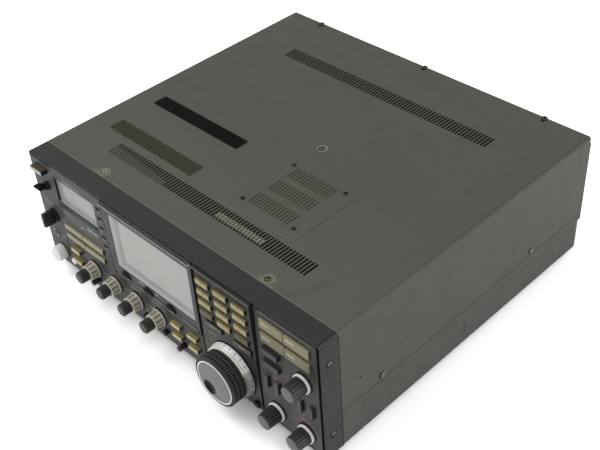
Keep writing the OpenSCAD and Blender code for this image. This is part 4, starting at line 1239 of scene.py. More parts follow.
def keypad_panel():
    """Panel of the keypad and the dial, its top and right edges standing up towards the top."""
    outline = rounded(PAD.x0, PAD.x1, PAD.z0, PAD.z1, 0.6)
    holes = [opening(b) for b in PAD_KEYS]
    holes.append(opening(node_box("dial_lock_key"), low=0))
    holes.append(circle(*DIAL_AT, DIAL_HOLE_R))
    plate("keypad_panel_plate", outline, holes, -PANEL_T, 0.0, ["keypad_panel", "deep_black"],
          slot="keypad_plastic", node="keypad_panel")
    tall, short, root = 3.4, 0.5, -0.2
    lip_z = PAD.z1 - 1.5
    lip = (PAD.x0 + 0.3, PAD.x1, lip_z, PAD.z1 - 0.2, root, tall)
    # its faces that look right or down take painted shade
    blocks("keypad_top_lip", ["keypad_lip", "keypad_panel", "deep_black"], [lip], sided=True,
           slot="keypad_plastic", edge=0.3)
    edge_x = PAD.x1 - 2.2
    edge = Shape()
    edge.loft([[(edge_x, z, root), (PAD.x1, z, root), (PAD.x1, z, p), (edge_x, z, p)]
               for z, p in ((PAD.z0 + 0.3, short), (lip_z, tall))])
    edge.by_side()
    # its face that looks right takes painted shade
    edge.piece("keypad_right_edge", ["keypad_panel", "keypad_panel", "deep_black"], slot="keypad_plastic",
               edge=0.2)
    turned("dial_seat", "deep_black", [DIAL_AT], DIAL_SEAT, 72, slot="keypad_plastic")


def right_panel():
    outline = rounded(RIGHT.x0, RIGHT.x1, RIGHT.z0, RIGHT.z1, 1.6)
    holes = [opening(node_box("memory_key_" + c)) for c in "abcd"]
    holes += [opening(b) for b in SIDE_KEYS + NARROW_KEYS]
    holes += [circle(*at, SHAFT_HOLE_R) for at in SIDE_AT]
    plate("right_panel_plate", outline, holes, -PANEL_T, 0.0, ["right_panel", "deep_black"], edge=0.4,
          slot="panel_plastic", node="right_panel")
    strip = (RIGHT.x0 + 6.0, RIGHT.x1 - 4.0, RIGHT.z1 - 3.0, RIGHT.z1 - 1.4, -0.2, 0.8)
    blocks("right_top_strip", "trim_strip", [strip], slot="panel_plastic", edge=0.3)
    notch = (RIGHT.x0 + 3.2, RIGHT.x0 + 5.8, RIGHT.z1 - 3.4, RIGHT.z1 - 0.6, -0.2, 0.6)
    blocks("right_notch", "deep_black", [notch], slot="panel_plastic", edge=0.2)


def bosses():
    """Black rings under the knobs."""
    turned("twin_bosses", "deep_black", TWIN_AT, BOSS, slot="panel_plastic", node="main_panel")
    turned("side_bosses", "deep_black", SIDE_AT, BOSS, slot="panel_plastic", node="right_panel")


# Meter, lamps and sockets

NEEDLE_AT = (-141.5, 70.5)
NEEDLE_TILT = 20.5
NEEDLE_BLADE = [(-0.6, 1.0), (0.6, 1.0), (0.4, 49.8), (-0.4, 49.8)]
NEEDLE_HUB = [(1.0, -8.4), (1.0, -4.6), (1.6, -4.5), (1.6, -1.8), (1.2, -1.5)]
METER_BAND_TOP = 94.0
CARD_BACK, CARD_P = -7.95, -6.4
LABEL_EDGES = (-174.5, -105.5, 71.5, 87.2)

# Scales of the meter: radius, first and last angle, number of ticks and their length
METER_SCALES = ((47.0, -36, 36, 25, 2.2), (41.5, -34, 34, 18, 1.6), (36.0, -32, 32, 14, 1.4))
ARC_STEPS = 24

JACK = [(3.2, -22.0), (3.2, 0.7), (3.5, 1.1), (5.0, 1.2), (5.6, 0.9), (5.6, 0.0), (4.7, -0.05), (4.7, -2.95),
        (6.5, -3.1), (6.5, -22.0)]
JACK_CONTACT = [(3.1, -21.9), (3.1, -20.5), (1.0, -20.0)]
MIC_SOCKET = [(8.0, -14.0), (8.0, -3.1), (7.8, -2.9), (7.8, -0.05), (8.8, 0.0), (8.8, 0.5), (8.5, 0.8),
              (7.8, 0.8), (7.8, 5.6), (7.4, 6.0)]
LEVER_BUSH = [(3.9, -11.0), (3.9, 3.0), (4.3, 3.4), (4.7, 3.4), (5.0, 3.0), (5.0, 1.2), (4.7, 0.9),
              (5.0, 0.6), (5.0, -3.0), (6.4, -3.1), (6.4, -13.5), (4.2, -13.5)]


def meter():
    """Meter behind its window: a dark liner, the lens, a band, a pale lip, the card and its marks."""
    x0, x1, z0, z1 = METER_WINDOW
    outer, inner = drawn_in(METER_WINDOW, 0.02, 0.5), drawn_in(METER_WINDOW, 0.6, 0.5)
    rings = ((outer, -0.3), (inner, -0.3), (inner, -PANEL_T), (outer, -PANEL_T))
    lofted("meter_liner", "deep_black", rings, slot="panel_plastic")
    window = rounded(x0 + 0.7, x1 - 0.7, METER_BAND_TOP, z1 - 0.7, 0.4)
    pillows("meter_window", "clear_lens", [window], -PANEL_T + 0.05, -1.9, 0.3, slot="clear_lens",
            node="meter_lens")
    band = rounded(x0 + 0.7, x1 - 0.7, z0 + 0.1, METER_BAND_TOP - 1.2, 0.4)
    pillows("meter_band", "meter_band", [band], -PANEL_T, -0.1, 0.2, slot="panel_plastic", node="meter_lens")
    lip = rounded(x0 + 0.8, x1 - 0.8, METER_BAND_TOP - 0.5, METER_BAND_TOP - 0.1, 0.15)
    pillows("meter_lip", "screen_mask", [lip], -PANEL_T, -0.6, 0.15, slot="clear_lens")
    blocks("meter_card", "meter_card", [(x0 + 2, x1 - 2, 72, z1 - 2, CARD_BACK, CARD_P + 0.2)],
           slot="meter_scale")
    scale_marks()
    needle()
    label_frame()


def scale_marks():
    """Ticks and arcs on the meter's card, without figures."""
    def at(r, a):
        return NEEDLE_AT[0] + r * math.sin(a), NEEDLE_AT[1] + r * math.cos(a)

    ink = Shape()
    low = CARD_P + 0.19
    for r, first, last, count, length in METER_SCALES:
        for i in range(count):
            a = math.radians(first + (last - first) * i / (count - 1))
            long = length * (1.6 if i % 4 == 0 else 1.0)
            ink.bar(*at(r, a), *at(r + long, a), 0.35, low, CARD_P + 0.24)
        arc = [math.radians(first + (last - first) * i / ARC_STEPS) for i in range(ARC_STEPS + 1)]
        for a, b in zip(arc, arc[1:]):
            ink.bar(*at(r, a), *at(r, b), 0.3, low, CARD_P + 0.23)
    ink.piece("meter_scale_marks", "meter_ink", slot="meter_scale")


def needle():
    """Thin pointer on a hub, tilted as it rests."""
    cx, cz = NEEDLE_AT
    tilt = math.radians(-NEEDLE_TILT)

    def tilted(u, v, h):
        return on_front(cx + u * math.cos(tilt) + v * math.sin(tilt),
                        cz - u * math.sin(tilt) + v * math.cos(tilt), h)

    shape = Shape(tilted)
    shape.loft([level(NEEDLE_BLADE, -PANEL_T - 2.4), level(NEEDLE_BLADE, -PANEL_T - 1.9)])
    shape.lathe(0, 0, [(r, -PANEL_T + h) for r, h in NEEDLE_HUB], 24)
    shape.piece("meter_pointer", "needle_paint", "meter_needle", "needle_paint", "meter_needle")


def label_frame():
    """Bordered plate under the meter, without lettering."""
    outer, inner = drawn_in(LABEL_EDGES, 0.0, 1.0), drawn_in(LABEL_EDGES, 0.5, 0.6)
    rings = ((outer, 0.0), (outer, 0.2), (inner, 0.2), (inner, 0.0))
    lofted("label_border", "dark_print", rings, slot="panel_plastic")
    pillows("label_field", "label_plate", [drawn_in(LABEL_EDGES, 0.6, 0.6)], -0.05, 0.15, 0.1,
            slot="panel_plastic")


def lamps():
    outlines = [rounded(x - LAMP_W, x + LAMP_W, z - LAMP_H, z + LAMP_H, 0.3) for x, z in LAMP_SPOTS]
    pillows("lamp_windows", "lamp_lens", outlines, -PANEL_T, 0.2, 0.15, slot="lamp_lens",
            node="indicator_lenses")


def sockets():
    """Headphone jack, microphone socket and the bushing of the lever, in place of the front sockets."""
    rides = dict(slot="socket_metal", node="front_sockets")
    turned("headphone_socket", "socket_ring", [JACK_AT], JACK, 40, **rides)
    turned("headphone_contact", "deep_black", [JACK_AT], JACK_CONTACT, 24, ring=False, slot="socket_metal")
    turned("microphone_socket", "black_plastic", [MIC_AT], MIC_SOCKET, 40, ring=False, **rides)
    turned("lever_bushing", "black_plastic", [LEVER_AT], LEVER_BUSH, 40, **rides)


# Keys and buttons: looks are for the front, the upper side painted as light falls on it, and the ends in
# painted shade

DARK_KEY = ["dark_key", "dark_key_top", "deep_black"]
NARROW_KEY = ["narrow_key", "dark_key", "deep_black"]
WIDE_KEY = ["wide_key", "dark_key_top", "deep_black"]
SMALL_KEY = ["small_key", "beige_top", "small_key_end"]
BEIGE_KEY = ["beige_key", "beige_top", "key_end"]
OLIVE_KEY = ["olive_key", "olive_top", "key_end"]
POWER_KEY = ["power_front", "brown_top", "matte_black"]
LOCK_KEY = ["black_plastic", "black_plastic", "deep_black"]
KEY_GROUPS = [("small_key", SMALL_KEYS, SMALL_KEY, "small_keys", "beige_key"),
              ("side_key", SIDE_KEYS, DARK_KEY, "side_keys", "dark_key"),
              ("narrow_key", NARROW_KEYS, NARROW_KEY, "narrow_keys", "dark_key")]
MIDDLE_KEY_X = (75, 100)
WHITE_BUTTON_R, WHITE_BUTTON_P = 3.5, 3.0
LOW_BUTTON_X, LOW_BUTTON_DROP = (-50, 0), 4.0
MEMORY_MIDDLE = sum(centre(node_box("memory_key_" + c))[1] for c in "abcd") / 4


def key(name, box, looks, node, slot, edge=0.3, low=KEY_LIP):
    """One key: its lips behind the panel, its stem and a flat front with small round edges."""
    face = face_of(box, low)
    r = min(0.4, (face[3] - face[2]) / 4)
    lips = rounded(box.x0, box.x1, box.z0, box.z1, 0.2)
    rings = [level(lips, box.back), level(lips, -PANEL_T), level(drawn_in(face, 0.0, r), -PANEL_T)]
    rings += [level(drawn_in(face, inward, r), box.front - edge + rise) for inward, rise in round_over(edge)]
    shape = Shape()
    shape.loft(rings)
    shape.by_side()
    shape.piece(name, looks, node, slot, node, sharp=35)


def keys():
    for c in "abcd":
        mode, memory = "mode_key_" + c, "memory_key_" + c
        # right ends in painted shade: olive on keys a and c, darker on b and d
        end = "olive_key" if c in "ac" else "key_end"
        key("mode_bar_" + c, node_box(mode), ["mode_key", "mode_top", end], mode, "beige_key")
        cap = node_box(memory)
        front = "memory_key" if centre(cap)[1] > MEMORY_MIDDLE else "memory_low"
        key("memory_cap_" + c, cap, [front, "memory_top", "memory_end"], memory, "grey_key")
    for name, boxes, looks, node, slot in KEY_GROUPS:
        for i, box in enumerate(boxes):
            key(f"{name}_{i + 1}", box, looks, node, slot)
    keypad_keys()
    key("power_cap", node_box("power_button"), POWER_KEY, "power_button", "beige_key", edge=0.5)
    lock = node_box("dial_lock_key")
    key("lock_cap", lock._replace(front=lock.front + 0.6), LOCK_KEY, "dial_lock_key", "black_gloss", low=0)
    round_buttons()
    for i, (x, z) in enumerate(HALF_AT):
        pillows(f"half_round_key_{i + 1}", "matte_black", [half_round(x, z, HALF_R)], -PANEL_T - 1.2,
                BEZEL_P + HALF_RISE, 0.3, body="half_round_keys", slot="black_gloss", node="half_round_keys",
                sharp=50)


def is_wide(box):
    return box.x1 - box.x0 > WIDE_KEY_W


def keypad_keys():
    """Beige keys with a small mark each, two olive ones and two wide dark ones."""
    lowest = min(b.z0 for b in PAD_KEYS if not is_wide(b))
    marks = Shape()
    for i, box in enumerate(PAD_KEYS):
        x, z = centre(box)
        olive = box.z0 < lowest + 1 and not MIDDLE_KEY_X[0] < x < MIDDLE_KEY_X[1]
        looks = WIDE_KEY if is_wide(box) else OLIVE_KEY if olive else BEIGE_KEY
        key(f"keypad_key_{i + 1}", box, looks, "keypad_keys", "beige_key")
        if not is_wide(box):
            marks.bar(x - 0.7, z + 0.4, x + 0.7, z + 0.4, 1.3, box.front - 0.02, box.front + 0.03)
    marks.piece("keypad_marks", "dark_print", "keypad_keys", "beige_key")


def round_buttons():
    """Black buttons, two of them lower, and a larger white one."""
    for i, box in enumerate(ROUND_BUTTONS):
        x, z = button_at(box)
        flange = (box.x1 - box.x0) / 2
        r = flange - KEY_CLEAR - 0.8
        white = r > WHITE_BUTTON_R
        lower = LOW_BUTTON_X[0] < x < LOW_BUTTON_X[1]
        p = WHITE_BUTTON_P if white else box.front - LOW_BUTTON_DROP if lower else box.front
        profile = [(flange, box.back), (flange, -PANEL_T), (r, -PANEL_T), (r, p - 0.7), (r - 0.2, p - 0.2),
                   (r - 0.7, p), (0.3, p - 0.15)]
        look = "white_ring" if white else "black_gloss"
        turned(f"round_button_{i + 1}", look, [(x, z)], profile, 32, ring=False, body="round_buttons",
               slot="black_gloss", node="round_buttons", sharp=50)


# Switches that swing, turn or pull

LEVER_TILT = 15
LEVER_PIVOT_P = -1.0
# Stations of the paddle and the selector's bar: height, half width and half thickness
PADDLE = [(4.6, 2.6, 2.2), (5.4, 3.4, 2.5), (8.5, 5.0, 2.6), (12.0, 5.4, 2.0), (13.8, 5.2, 1.2),
          (14.3, 4.7, 0.7)]
LEVER_STEM = [(1.5, -3.6), (1.5, 5.4), (1.2, 5.8)]
SELECTOR_BAR = [(2.9, 2.6, 9.0), (14.6, 2.3, 8.8), (15.6, 2.0, 8.5), (16.0, 1.5, 8.0)]
SELECTOR_BASE = [(8.2, 0.3), (8.5, 0.6), (8.5, 2.7), (8.0, 3.2), (4.9, 3.2), (4.9, 0.3)]
MIC_CAP = [(8.15, 6.4), (8.15, 1.2), (8.7, 1.0), (9.0, 1.4), (9.0, MIC.front - 1.4), (8.7, MIC.front - 0.5),
           (8.0, MIC.front), (0.4, MIC.front), (0.4, 6.4)]


def lever():
    """Flat paddle on a stem, tilted up as it rests."""
    x, z = LEVER_AT
    tilt = math.radians(LEVER_TILT)

    def tilted(u, v, p):
        along = p - LEVER_PIVOT_P
        return on_front(x + u, z + v * math.cos(tilt) + along * math.sin(tilt),
                        along * math.cos(tilt) - v * math.sin(tilt) + LEVER_PIVOT_P)

    rides = dict(body="transmit_lever", slot="black_gloss", node="transmit_lever")
    rings = [(rounded(-w, w, -t, t, min(w, t) * 0.5), p) for p, w, t in PADDLE]
    lofted("transmit_paddle", "matte_black", rings, ring=False, place=tilted, sharp=60, **rides)
    turned("transmit_stem", "black_plastic", [(0, 0)], LEVER_STEM, 24, ring=False, place=tilted, **rides)


def selector():
    x, z = SELECTOR_AT
    rides = dict(body="meter_selector", slot="black_gloss")
    turned("selector_base", "black_plastic", [SELECTOR_AT], SELECTOR_BASE, node="meter_selector", **rides)
    bar = Shape()
    bar.loft([level(rounded(x - w, x + w, z - t, z + t, 0.7), p) for p, w, t in SELECTOR_BAR])
    bar.lathe(x, z, [(3.0, -11.0), (3.0, 2.8)], 24)
    bar.piece("selector_bar", "black_gloss", node="meter_selector", sharp=50, **rides)
    bars("selector_mark", "grey_print", [(x, z + 3.5, x, z + 7.6, 0.8, 15.9, 16.0)], **rides)


def mic_cap():
    turned("microphone_cap", "cap_plastic", [MIC_AT], MIC_CAP, body="mic_cap", slot="cap_plastic",
           node="mic_cap", sharp=50)


# Knobs: profiles of radius, height and depth of cut

RIBBED_GRIP = [(3.0, 1.6), (9.4, 1.7), (9.9, 2.6, 0.0), (9.75, 3.0, 0.7), (8.85, 11.2, 0.7), (8.7, 11.6, 0.0),
               (7.0, 11.8), (3.0, 11.8)]
KNOB_TUBE = [(1.86, -7.0), (1.86, 11.0), (3.0, 11.0), (3.0, -7.0)]
REAR_KNOB_RIM = [(9.6, 1.6), (10.3, 1.7), (10.25, 2.5), (9.8, 2.7)]
FRONT_KNOB_RIM = [(7.6, 11.6), (8.9, 11.4), (8.85, 11.9), (8.5, 12.2), (7.6, 12.0)]
INNER_CAP = [(6.6, 12.8), (7.0, 13.0, 0.3), (6.9, 21.0, 0.3), (6.6, 22.1, 0.1), (5.9, 22.6), (5.4, 22.5)]
INNER_DISC = [(5.5, 22.3), (5.5, 22.55), (5.2, 22.65), (0.5, 22.7)]
SIDE_RING = [(4.9, 1.6), (9.9, 1.6), (10.1, 1.8), (10.1, 3.6), (9.7, 3.9), (4.9, 3.9)]
SIDE_GRIP = [(8.8, 3.7), (9.0, 4.1, 0.5), (8.3, 18.2, 0.5), (8.1, 19.2, 0.3), (7.7, 19.7), (7.3, 19.7)]
SIDE_DISC = [(7.4, 19.5), (7.4, 19.75), (7.1, 19.9), (0.5, 20.0)]
ROUNDED_CUT = (0.7, 1, 0.7)


def flutes(count, flat, cut=ROUNDED_CUT):
    """Number of steps round a knob, and a wave that repeats some flat steps and a cut."""
    pattern = (0,) * flat + cut
    return count * len(pattern), lambda i: pattern[i % len(pattern)]


def twin_knobs():
    """Ribbed silver outer knobs with pale rims, and fluted black inner knobs, their grooves darkened with
    painted shade.
    """
    ribs, groove = flutes(11, 9)
    fine, flute = flutes(14, 5)
    for c, at in zip("abcd", TWIN_AT):
        outer = dict(body="outer_knob_" + c, slot="silver_plastic", node="outer_knob_" + c)
        inner = dict(body="inner_knob_" + c, slot="knob_black")
        grip = Shape()
        grip.lathe(*at, RIBBED_GRIP, ribs, groove, loop=True, groove_from=1)
        grip.piece("ribbed_knob_" + c, ["silver_ribs", "groove_shade"], sharp=30, **outer)
        turned("knob_tube_" + c, "control_metal", [at], KNOB_TUBE, 24, **outer)
        rims = Shape()
        rims.lathe(*at, REAR_KNOB_RIM, 64, loop=True)
        rims.lathe(*at, FRONT_KNOB_RIM, 64, loop=True)
        rims.piece("knob_rims_" + c, "silver_rim", **outer)
        cap = Shape()
        cap.lathe(*at, INNER_CAP, fine, flute, groove_from=1)
        cap.lathe(*at, [(1.8, -11.0), (1.8, 12.9)], 24)
        cap.piece("fluted_knob_" + c, ["knob_black", "deep_black"], node="inner_knob_" + c, sharp=50, **inner)
        turned("knob_disc_" + c, "inner_face", [at], INNER_DISC, 40, ring=False, sharp=60, **inner)


def side_knobs():
    """Fluted black knobs on pale rings, their flutes darkened with painted shade."""
    fine, flute = flutes(14, 7)
    for c, (x, z) in zip("abc", SIDE_AT):
        body = "side_knob_" + c
        turned("pale_ring_" + c, "white_ring", [(x, z)], SIDE_RING, 56, body=body, slot="silver_plastic",
               node=body)
        rides = dict(body=body, slot="knob_black")
        grip = Shape()
        grip.lathe(x, z, SIDE_GRIP, fine, flute, groove_from=1)
        grip.lathe(x, z, [(3.0, -11.0), (3.0, 3.3)], 24)
        grip.piece("side_grip_" + c, ["knob_black", "deep_black"], node=body, sharp=50, **rides)
        turned("side_disc_" + c, "knob_face", [(x, z)], SIDE_DISC, 48, ring=False, sharp=60, **rides)
        mark = (x - 2.2, z + 6.2, x - 2.7, z + 7.6, 0.7, 19.6, 19.95)
        bars("side_mark_" + c, "grey_print", [mark], **rides)


# Dial

GRIP_R = (DIAL.x1 - DIAL.x0) / 2
DIAL_FRONT = DIAL.front
GRIP_START, GRIP_BAND, GRIP_RIDGE, GRIP_BANDS, GRIP_CUT = 9.9, 3.5, 1.0, 3, 1.2
SHOULDER = GRIP_START + GRIP_BANDS * (GRIP_BAND + GRIP_RIDGE)
DIAL_RIM = [(24.4, SHOULDER - 0.3), (GRIP_R - 0.5, SHOULDER - 0.3), (GRIP_R, SHOULDER),
            (GRIP_R, DIAL_FRONT - 1.6), (GRIP_R - 0.3, DIAL_FRONT - 1.0), (GRIP_R - 1.2, DIAL_FRONT - 0.3),
            (GRIP_R - 2.2, DIAL_FRONT), (24.5, DIAL_FRONT - 0.2), (24.4, DIAL_FRONT - 0.5)]
DIAL_CORE = [(3.0, -11.0), (3.0, 1.6), (9.0, 1.7), (9.0, 8.9), (11.9, 9.0), (11.9, 20.7)]
DIAL_RING = [(22.7, 23.8), (24.3, 23.8), (24.3, DIAL_FRONT - 0.2), (24.0, DIAL_FRONT + 0.05),
             (23.0, DIAL_FRONT + 0.05), (22.7, DIAL_FRONT - 0.3)]
DISC_R, DISC_P = 22.6, 24.0
CUP_R = 8.4
CUP_AT = (DIAL_AT[0] - 8.5, DIAL_AT[1] - 12.1)
FINGER_CUP = [(CUP_R - 0.02, -0.5), (CUP_R - 0.5, -0.35), (CUP_R - 1.0, -1.0), (CUP_R - 2.4, -2.6),
              (CUP_R - 4.6, -3.5), (0.6, -3.8), (0.6, -4.4), (CUP_R - 3.0, -4.2), (CUP_R - 0.1, -2.4)]
SKIRT = [(20.0, 1.2), (29.6, 1.2), (30.2, 1.6), (30.1, 2.2), (28.75, 8.0), (28.5, 8.4), (20.0, 8.4)]
SKIRT_RIM = [(27.0, 7.4), (29.1, 7.35), (29.05, 8.0), (28.7, 8.6), (28.2, 8.75), (27.0, 8.75)]
SKIRT_GROOVE = [(28.0, 6.9), (29.1, 6.9), (29.05, 7.3), (28.0, 7.3)]
TICK_COUNT, TICK_START, TICK_HALF_W, TICK_SPAN = 25, 101, 0.27, (2.3, 5.5)


def dial():
    """Tuning dial: a toothed grip with its notches painted black as shade, a plain rim, a grey disc with a
    white ring and a finger cup, a skirt.
    """
    steps, notch = flutes(64, 3, (1, 1, 1))
    profile = [(12.0, 8.9), (GRIP_R - 0.9, 8.8), (GRIP_R - 0.5, 9.1)]
    for i in range(GRIP_BANDS):
        low = GRIP_START + i * (GRIP_BAND + GRIP_RIDGE)
        profile += [(GRIP_R - 0.35, low - 0.1, 0.0), (GRIP_R - 0.2, low, GRIP_CUT),
                    (GRIP_R - 0.2, low + GRIP_BAND, GRIP_CUT), (GRIP_R - 0.35, low + GRIP_BAND + 0.1, 0.0)]
    profile += [(GRIP_R - 0.35, SHOULDER - 0.3), (24.4, SHOULDER - 0.3), (24.4, 20.8), (12.0, 20.8)]
    rides = dict(body="dial", slot="dial_rubber")
    solid = dict(rides, node="tuning_dial")
    grip = Shape()
    # notch faces take deep_black, painted shade
    grip.lathe(*DIAL_AT, profile, steps, notch, loop=True, groove_from=0)
    grip.piece("dial_grip", ["dial_rubber", "deep_black"], sharp=35, **solid)
    turned("dial_rim", "dial_rim", [DIAL_AT], DIAL_RIM, 96, sharp=35, **solid)
    turned("dial_core", "black_plastic", [DIAL_AT], DIAL_CORE, 48, ring=False, **solid)
    plate("dial_disc", circle(*DIAL_AT, DISC_R, 96), [circle(*CUP_AT, CUP_R, 48)], DISC_P, DIAL_FRONT - 0.25,
          "dial_face", edge=0.25, **rides)
    turned("dial_white_ring", "white_ring", [DIAL_AT], DIAL_RING, 96, **rides)
    cup = [(r, DIAL_FRONT + p) for r, p in FINGER_CUP]
    turned("dial_finger_cup", "cup_gloss", [CUP_AT], cup, sharp=60, **rides)
    skirt()


def skirt():
    """Silver skirt with a pale rim, a fine groove and dark ticks."""
    x, z = DIAL_AT
    rides = dict(body="dial", slot="silver_plastic")
    turned("silver_skirt", "silver_skirt", [DIAL_AT], SKIRT, 120, node="dial_skirt", sharp=30, **rides)
    turned("skirt_rim", "skirt_rim", [DIAL_AT], SKIRT_RIM, 120, **rides)
    turned("skirt_groove", "grey_print", [DIAL_AT], SKIRT_GROOVE, 120, **rides)
    (low_r, low_p), (high_r, high_p) = SKIRT[3:5]
    ticks = Shape()
    for i in range(TICK_COUNT):
        a = math.radians(TICK_START + 360 / TICK_COUNT * i)
        across = Vector((-math.sin(a), math.cos(a))) * TICK_HALF_W
        out = Vector((math.cos(a), math.sin(a)))
        rings = []
        for p in TICK_SPAN:
            r = low_r - (p - low_p) * (low_r - high_r) / (high_p - low_p)
            rings.append([(x + out.x * (r + e) + across.x * s, z + out.y * (r + e) + across.y * s, p)
                          for e, s in ((-0.1, -1), (0.05, -1), (0.05, 1), (-0.1, 1))])
        ticks.loft(rings)
    ticks.piece("skirt_ticks", "deep_black", **rides)


# Printed marks

PRINT_P = 0.03
SCALE_R = (11.9, 12.9)
SCALE_MARKS = range(-60, 241, 30)

# Rows of small strokes where the photograph shows lettering too small to read: start and end on the front
WHITE_ROWS = [(-206.5, 81.1, -193.5, 81.1), (-205.5, 76.8, -197.0, 76.8), (-157.0, 128.4, -126.0, 128.4),
              (-65.0, 39.5, -58.0, 39.5), (-56.4, 39.4, -48.6, 39.4), (-30.8, 40.3, -15.5, 40.3),
              (-14.5, 38.8, -7.3, 38.8)]
PAD_ROWS = [(62.0, 59.5, 73.5, 59.5)]
BRIGHT_ROWS = [(-33.5, 28.9, -30.2, 28.9), (-28.8, 31.3, -27.1, 31.3), (-41.4, 19.6, -40.2, 19.6)]
BEZEL_ROWS = [(-44.8, 58.3, -35.2, 58.3), (-18.5, 58.1, -13.5, 58.1)]
FOOT_ROWS = [(-67.0, 49.2, -63.0, 49.2), (-46.6, 48.6, -38.3, 48.6), (-23.2, 49.0, -7.5, 49.0),
             (2.0, 48.4, 9.0, 48.4)]
LABEL_ROWS = [(-169.5, 82.6, -160.0, 82.6), (-142.0, 75.6, -136.0, 75.6), (-129.0, 80.4, -108.0, 80.4)]
RED_ROWS = [(151.0, 61.8, 160.0, 61.8), (184.5, 61.4, 189.0, 61.4), (174.0, 25.0, 180.0, 25.0),
            (183.0, 32.4, 196.0, 32.4), (197.0, 30.0, 204.5, 21.5)]
LAMP_ROWS = [(x - 2.6, z - 4.0, x + 2.6, z - 4.0) for x, z in LAMP_SPOTS]

# Rows of print on the case: name, rows, look, height above the front, slot and height of the strokes
CASE_PRINT = [("front_strokes", WHITE_ROWS, "grey_print", 0.0, "panel_plastic", 1.2),
              ("bright_strokes", BRIGHT_ROWS, "white_ring", 0.0, "panel_plastic", 1.8),
              ("pad_strokes", PAD_ROWS, "grey_print", 0.0, "keypad_plastic", 1.4),
              ("foot_strokes", FOOT_ROWS, "grey_print", BEZEL_P, "bezel_plastic", 1.2),
              ("bezel_strokes", BEZEL_ROWS, "white_print", BEZEL_P, "bezel_plastic", 1.4),
              ("label_strokes", LABEL_ROWS, "white_print", 0.15, "panel_plastic", 1.2),
              ("red_strokes", RED_ROWS, "red_print", 0.0, "panel_plastic", 2.0),
              ("lamp_strokes", LAMP_ROWS, "grey_print", 0.0, "panel_plastic", 0.9)]


def knob_scales():
    """Rings of small marks round the knobs."""
    near, far = SCALE_R
    shape = Shape()
    for x, z in TWIN_AT + SIDE_AT:
        for degrees in SCALE_MARKS:
            a = math.radians(degrees)
            shape.bar(x + near * math.cos(a), z + near * math.sin(a), x + far * math.cos(a),
                      z + far * math.sin(a), 0.4, -0.02, PRINT_P)
    shape.piece("knob_scale_marks", "grey_print", slot="panel_plastic")


def strokes(name, rows, look, p, slot, height, body="case"):
    """Dashes of uneven length along each row."""
    rng = random.Random(11)
    shape = Shape()
    for x0, z0, x1, z1 in rows:
        x = x0
        while x < x1 - 0.8:
            long = min(rng.uniform(0.7, 1.9), x1 - x)
            z = z0 + (z1 - z0) * (x - x0) / (x1 - x0)
            shape.bar(x, z, x + long, z, height * rng.uniform(0.6, 1.0), p - 0.03, p + PRINT_P)
            x += long + rng.uniform(0.5, 0.9)
    shape.piece(name, look, body, slot)


def printed_marks():
    """Dashes for the lettering, a bracket below the display and a dark line of painted shade for a groove
    beside the small keys.
    """
    for row in CASE_PRINT:
        strokes(*row)
    for c in "abcd":
        body = "memory_key_" + c
        box = node_box(body)
        z = box.z1 - KEY_LIP - 4.0
        row = (box.x0 + 3.0, z, box.x0 + 12.0, z)
        strokes("memory_strokes_" + c, [row], "cream_rim", box.front, "grey_key", 2.2, body)
    wide = [b for b in PAD_KEYS if is_wide(b)]
    rows = [(x - 5.0, z, x + 3.0, z) for x, z in map(centre, wide)]
    strokes("wide_key_strokes", rows, "grey_print", wide[0].front, "beige_key", 1.8, "keypad_keys")
    low, high = BEZEL_P - 0.05, BEZEL_P + PRINT_P
    bracket = [(22.0, 49.7, 40.5, 49.3, 0.6, low, high), (40.5, 49.5, 40.9, 45.9, 0.6, low, high)]
    bars("bracket_line", "grey_print", bracket, slot="bezel_plastic")
    # dark line of painted shade standing for a groove
    group_line = (-178.6, 44.5, -182.6, 10.0, 1.5, -0.02, PRINT_P)
    bars("key_group_line", "deep_black", [group_line], slot="panel_plastic")


# Stage

FLOOR_SIZE = 6.0
FLOOR_PLAIN = 0.93
FLOOR_SEEN = 1.8
FLOOR_MIRRORED = 1.2
WORLD_LIGHT = 0.62
AIM = Vector((0.0, 0.0, 0.07))

# Camera: focal length in mm, place in metres, turn in degrees
CAMERA_LENS = 60.36
CAMERA_AT = (0.62731, -0.58355, 0.74504)
CAMERA_TURN = (50.6623, 3.2946, 45.1576)

# Lamps: name, place and size in metres, power in watts
LAMPS = (("key_lamp", (-1.2, -0.9, 1.9), 1.4, 14.5),
         ("front_lamp", (-1.1, -1.3, 0.12), 0.3, 1.2),
         ("rear_lamp", (2.0, 0.9, 0.9), 1.4, 22))


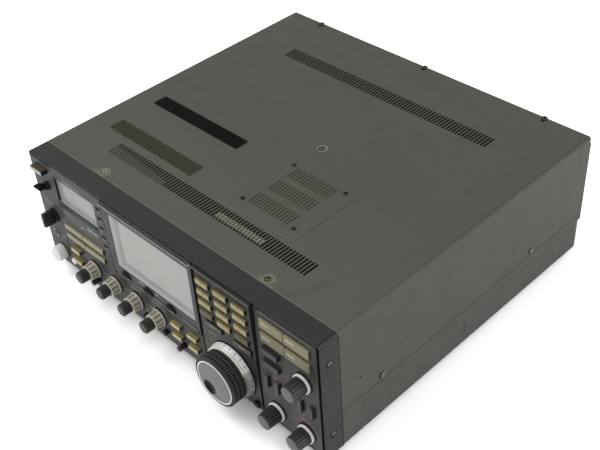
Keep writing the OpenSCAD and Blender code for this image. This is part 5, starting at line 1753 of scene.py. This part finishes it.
def stage():
    """Pale floor that shows white and keeps its shadow, a white world and three soft lamps."""
    mesh = bpy.data.meshes.new("floor")
    corners = [(x * FLOOR_SIZE, y * FLOOR_SIZE, 0) for x, y in ((-1, -1), (1, -1), (1, 1), (-1, 1))]
    mesh.from_pydata(corners, [], [(0, 1, 2, 3)])
    floor = bpy.data.objects.new("floor", mesh)
    bpy.context.scene.collection.objects.link(floor)
    look = Look("floor_paper")
    rays = look.add("ShaderNodeLightPath").outputs
    direct = look.span(rays["Is Camera Ray"], 0, 1, FLOOR_PLAIN, FLOOR_SEEN)
    bounced = look.math("MAXIMUM", rays["Is Glossy Ray"], rays["Is Transmission Ray"])
    mirrored = look.span(bounced, 0, 1, FLOOR_PLAIN, FLOOR_MIRRORED)
    paper = look.add("ShaderNodeBsdfDiffuse", Color=look.math("MAXIMUM", direct, mirrored))
    look.tree.links.new(paper.outputs["BSDF"], look.tree.nodes["Material Output"].inputs["Surface"])
    look.tree.nodes.remove(look.shader)
    mesh.materials.append(look.material)
    world()
    for name, place, size, power in LAMPS:
        lamp(name, place, size, power)


def world():
    """White world, dimmer as a light than it looks."""
    studio = bpy.data.worlds.new("studio")
    bpy.context.scene.world = studio
    studio.use_nodes = True
    tree = studio.node_tree
    back = tree.nodes["Background"]
    back.inputs["Color"].default_value = (1, 1, 1, 1)
    rays = tree.nodes.new("ShaderNodeLightPath").outputs
    seen = tree.nodes.new("ShaderNodeMath")
    seen.operation = "MAXIMUM"
    tree.links.new(rays["Is Camera Ray"], seen.inputs[0])
    tree.links.new(rays["Is Transmission Ray"], seen.inputs[1])
    strength = tree.nodes.new("ShaderNodeMapRange")
    strength.inputs["To Min"].default_value = WORLD_LIGHT
    strength.inputs["To Max"].default_value = 1.0
    tree.links.new(seen.outputs[0], strength.inputs["Value"])
    tree.links.new(strength.outputs["Result"], back.inputs["Strength"])


def lamp(name, place, size, power):
    """Square soft light that faces the object."""
    data = bpy.data.lights.new(name, "AREA")
    data.size = size
    data.energy = power
    obj = bpy.data.objects.new(name, data)
    obj.location = place
    obj.rotation_euler = (Vector(place) - AIM).to_track_quat("Z", "Y").to_euler()
    bpy.context.scene.collection.objects.link(obj)


def camera():
    """Camera at the photograph's place, found from the cabinet's edges."""
    data = bpy.data.cameras.new("camera")
    data.lens = CAMERA_LENS
    data.sensor_width = 36.0
    obj = bpy.data.objects.new("camera", data)
    obj.location = CAMERA_AT
    obj.rotation_euler = [math.radians(a) for a in CAMERA_TURN]
    bpy.context.scene.collection.objects.link(obj)
    bpy.context.scene.camera = obj


camera()
stage()
kept_nodes()
cabinet()
front_frame()
main_panel()
display_bezel()
display()
keypad_panel()
right_panel()
bosses()
meter()
lamps()
sockets()
keys()
lever()
selector()
mic_cap()
twin_knobs()
side_knobs()
dial()
knob_scales()
printed_marks()

bpy.context.scene.view_settings.view_transform = "Standard"
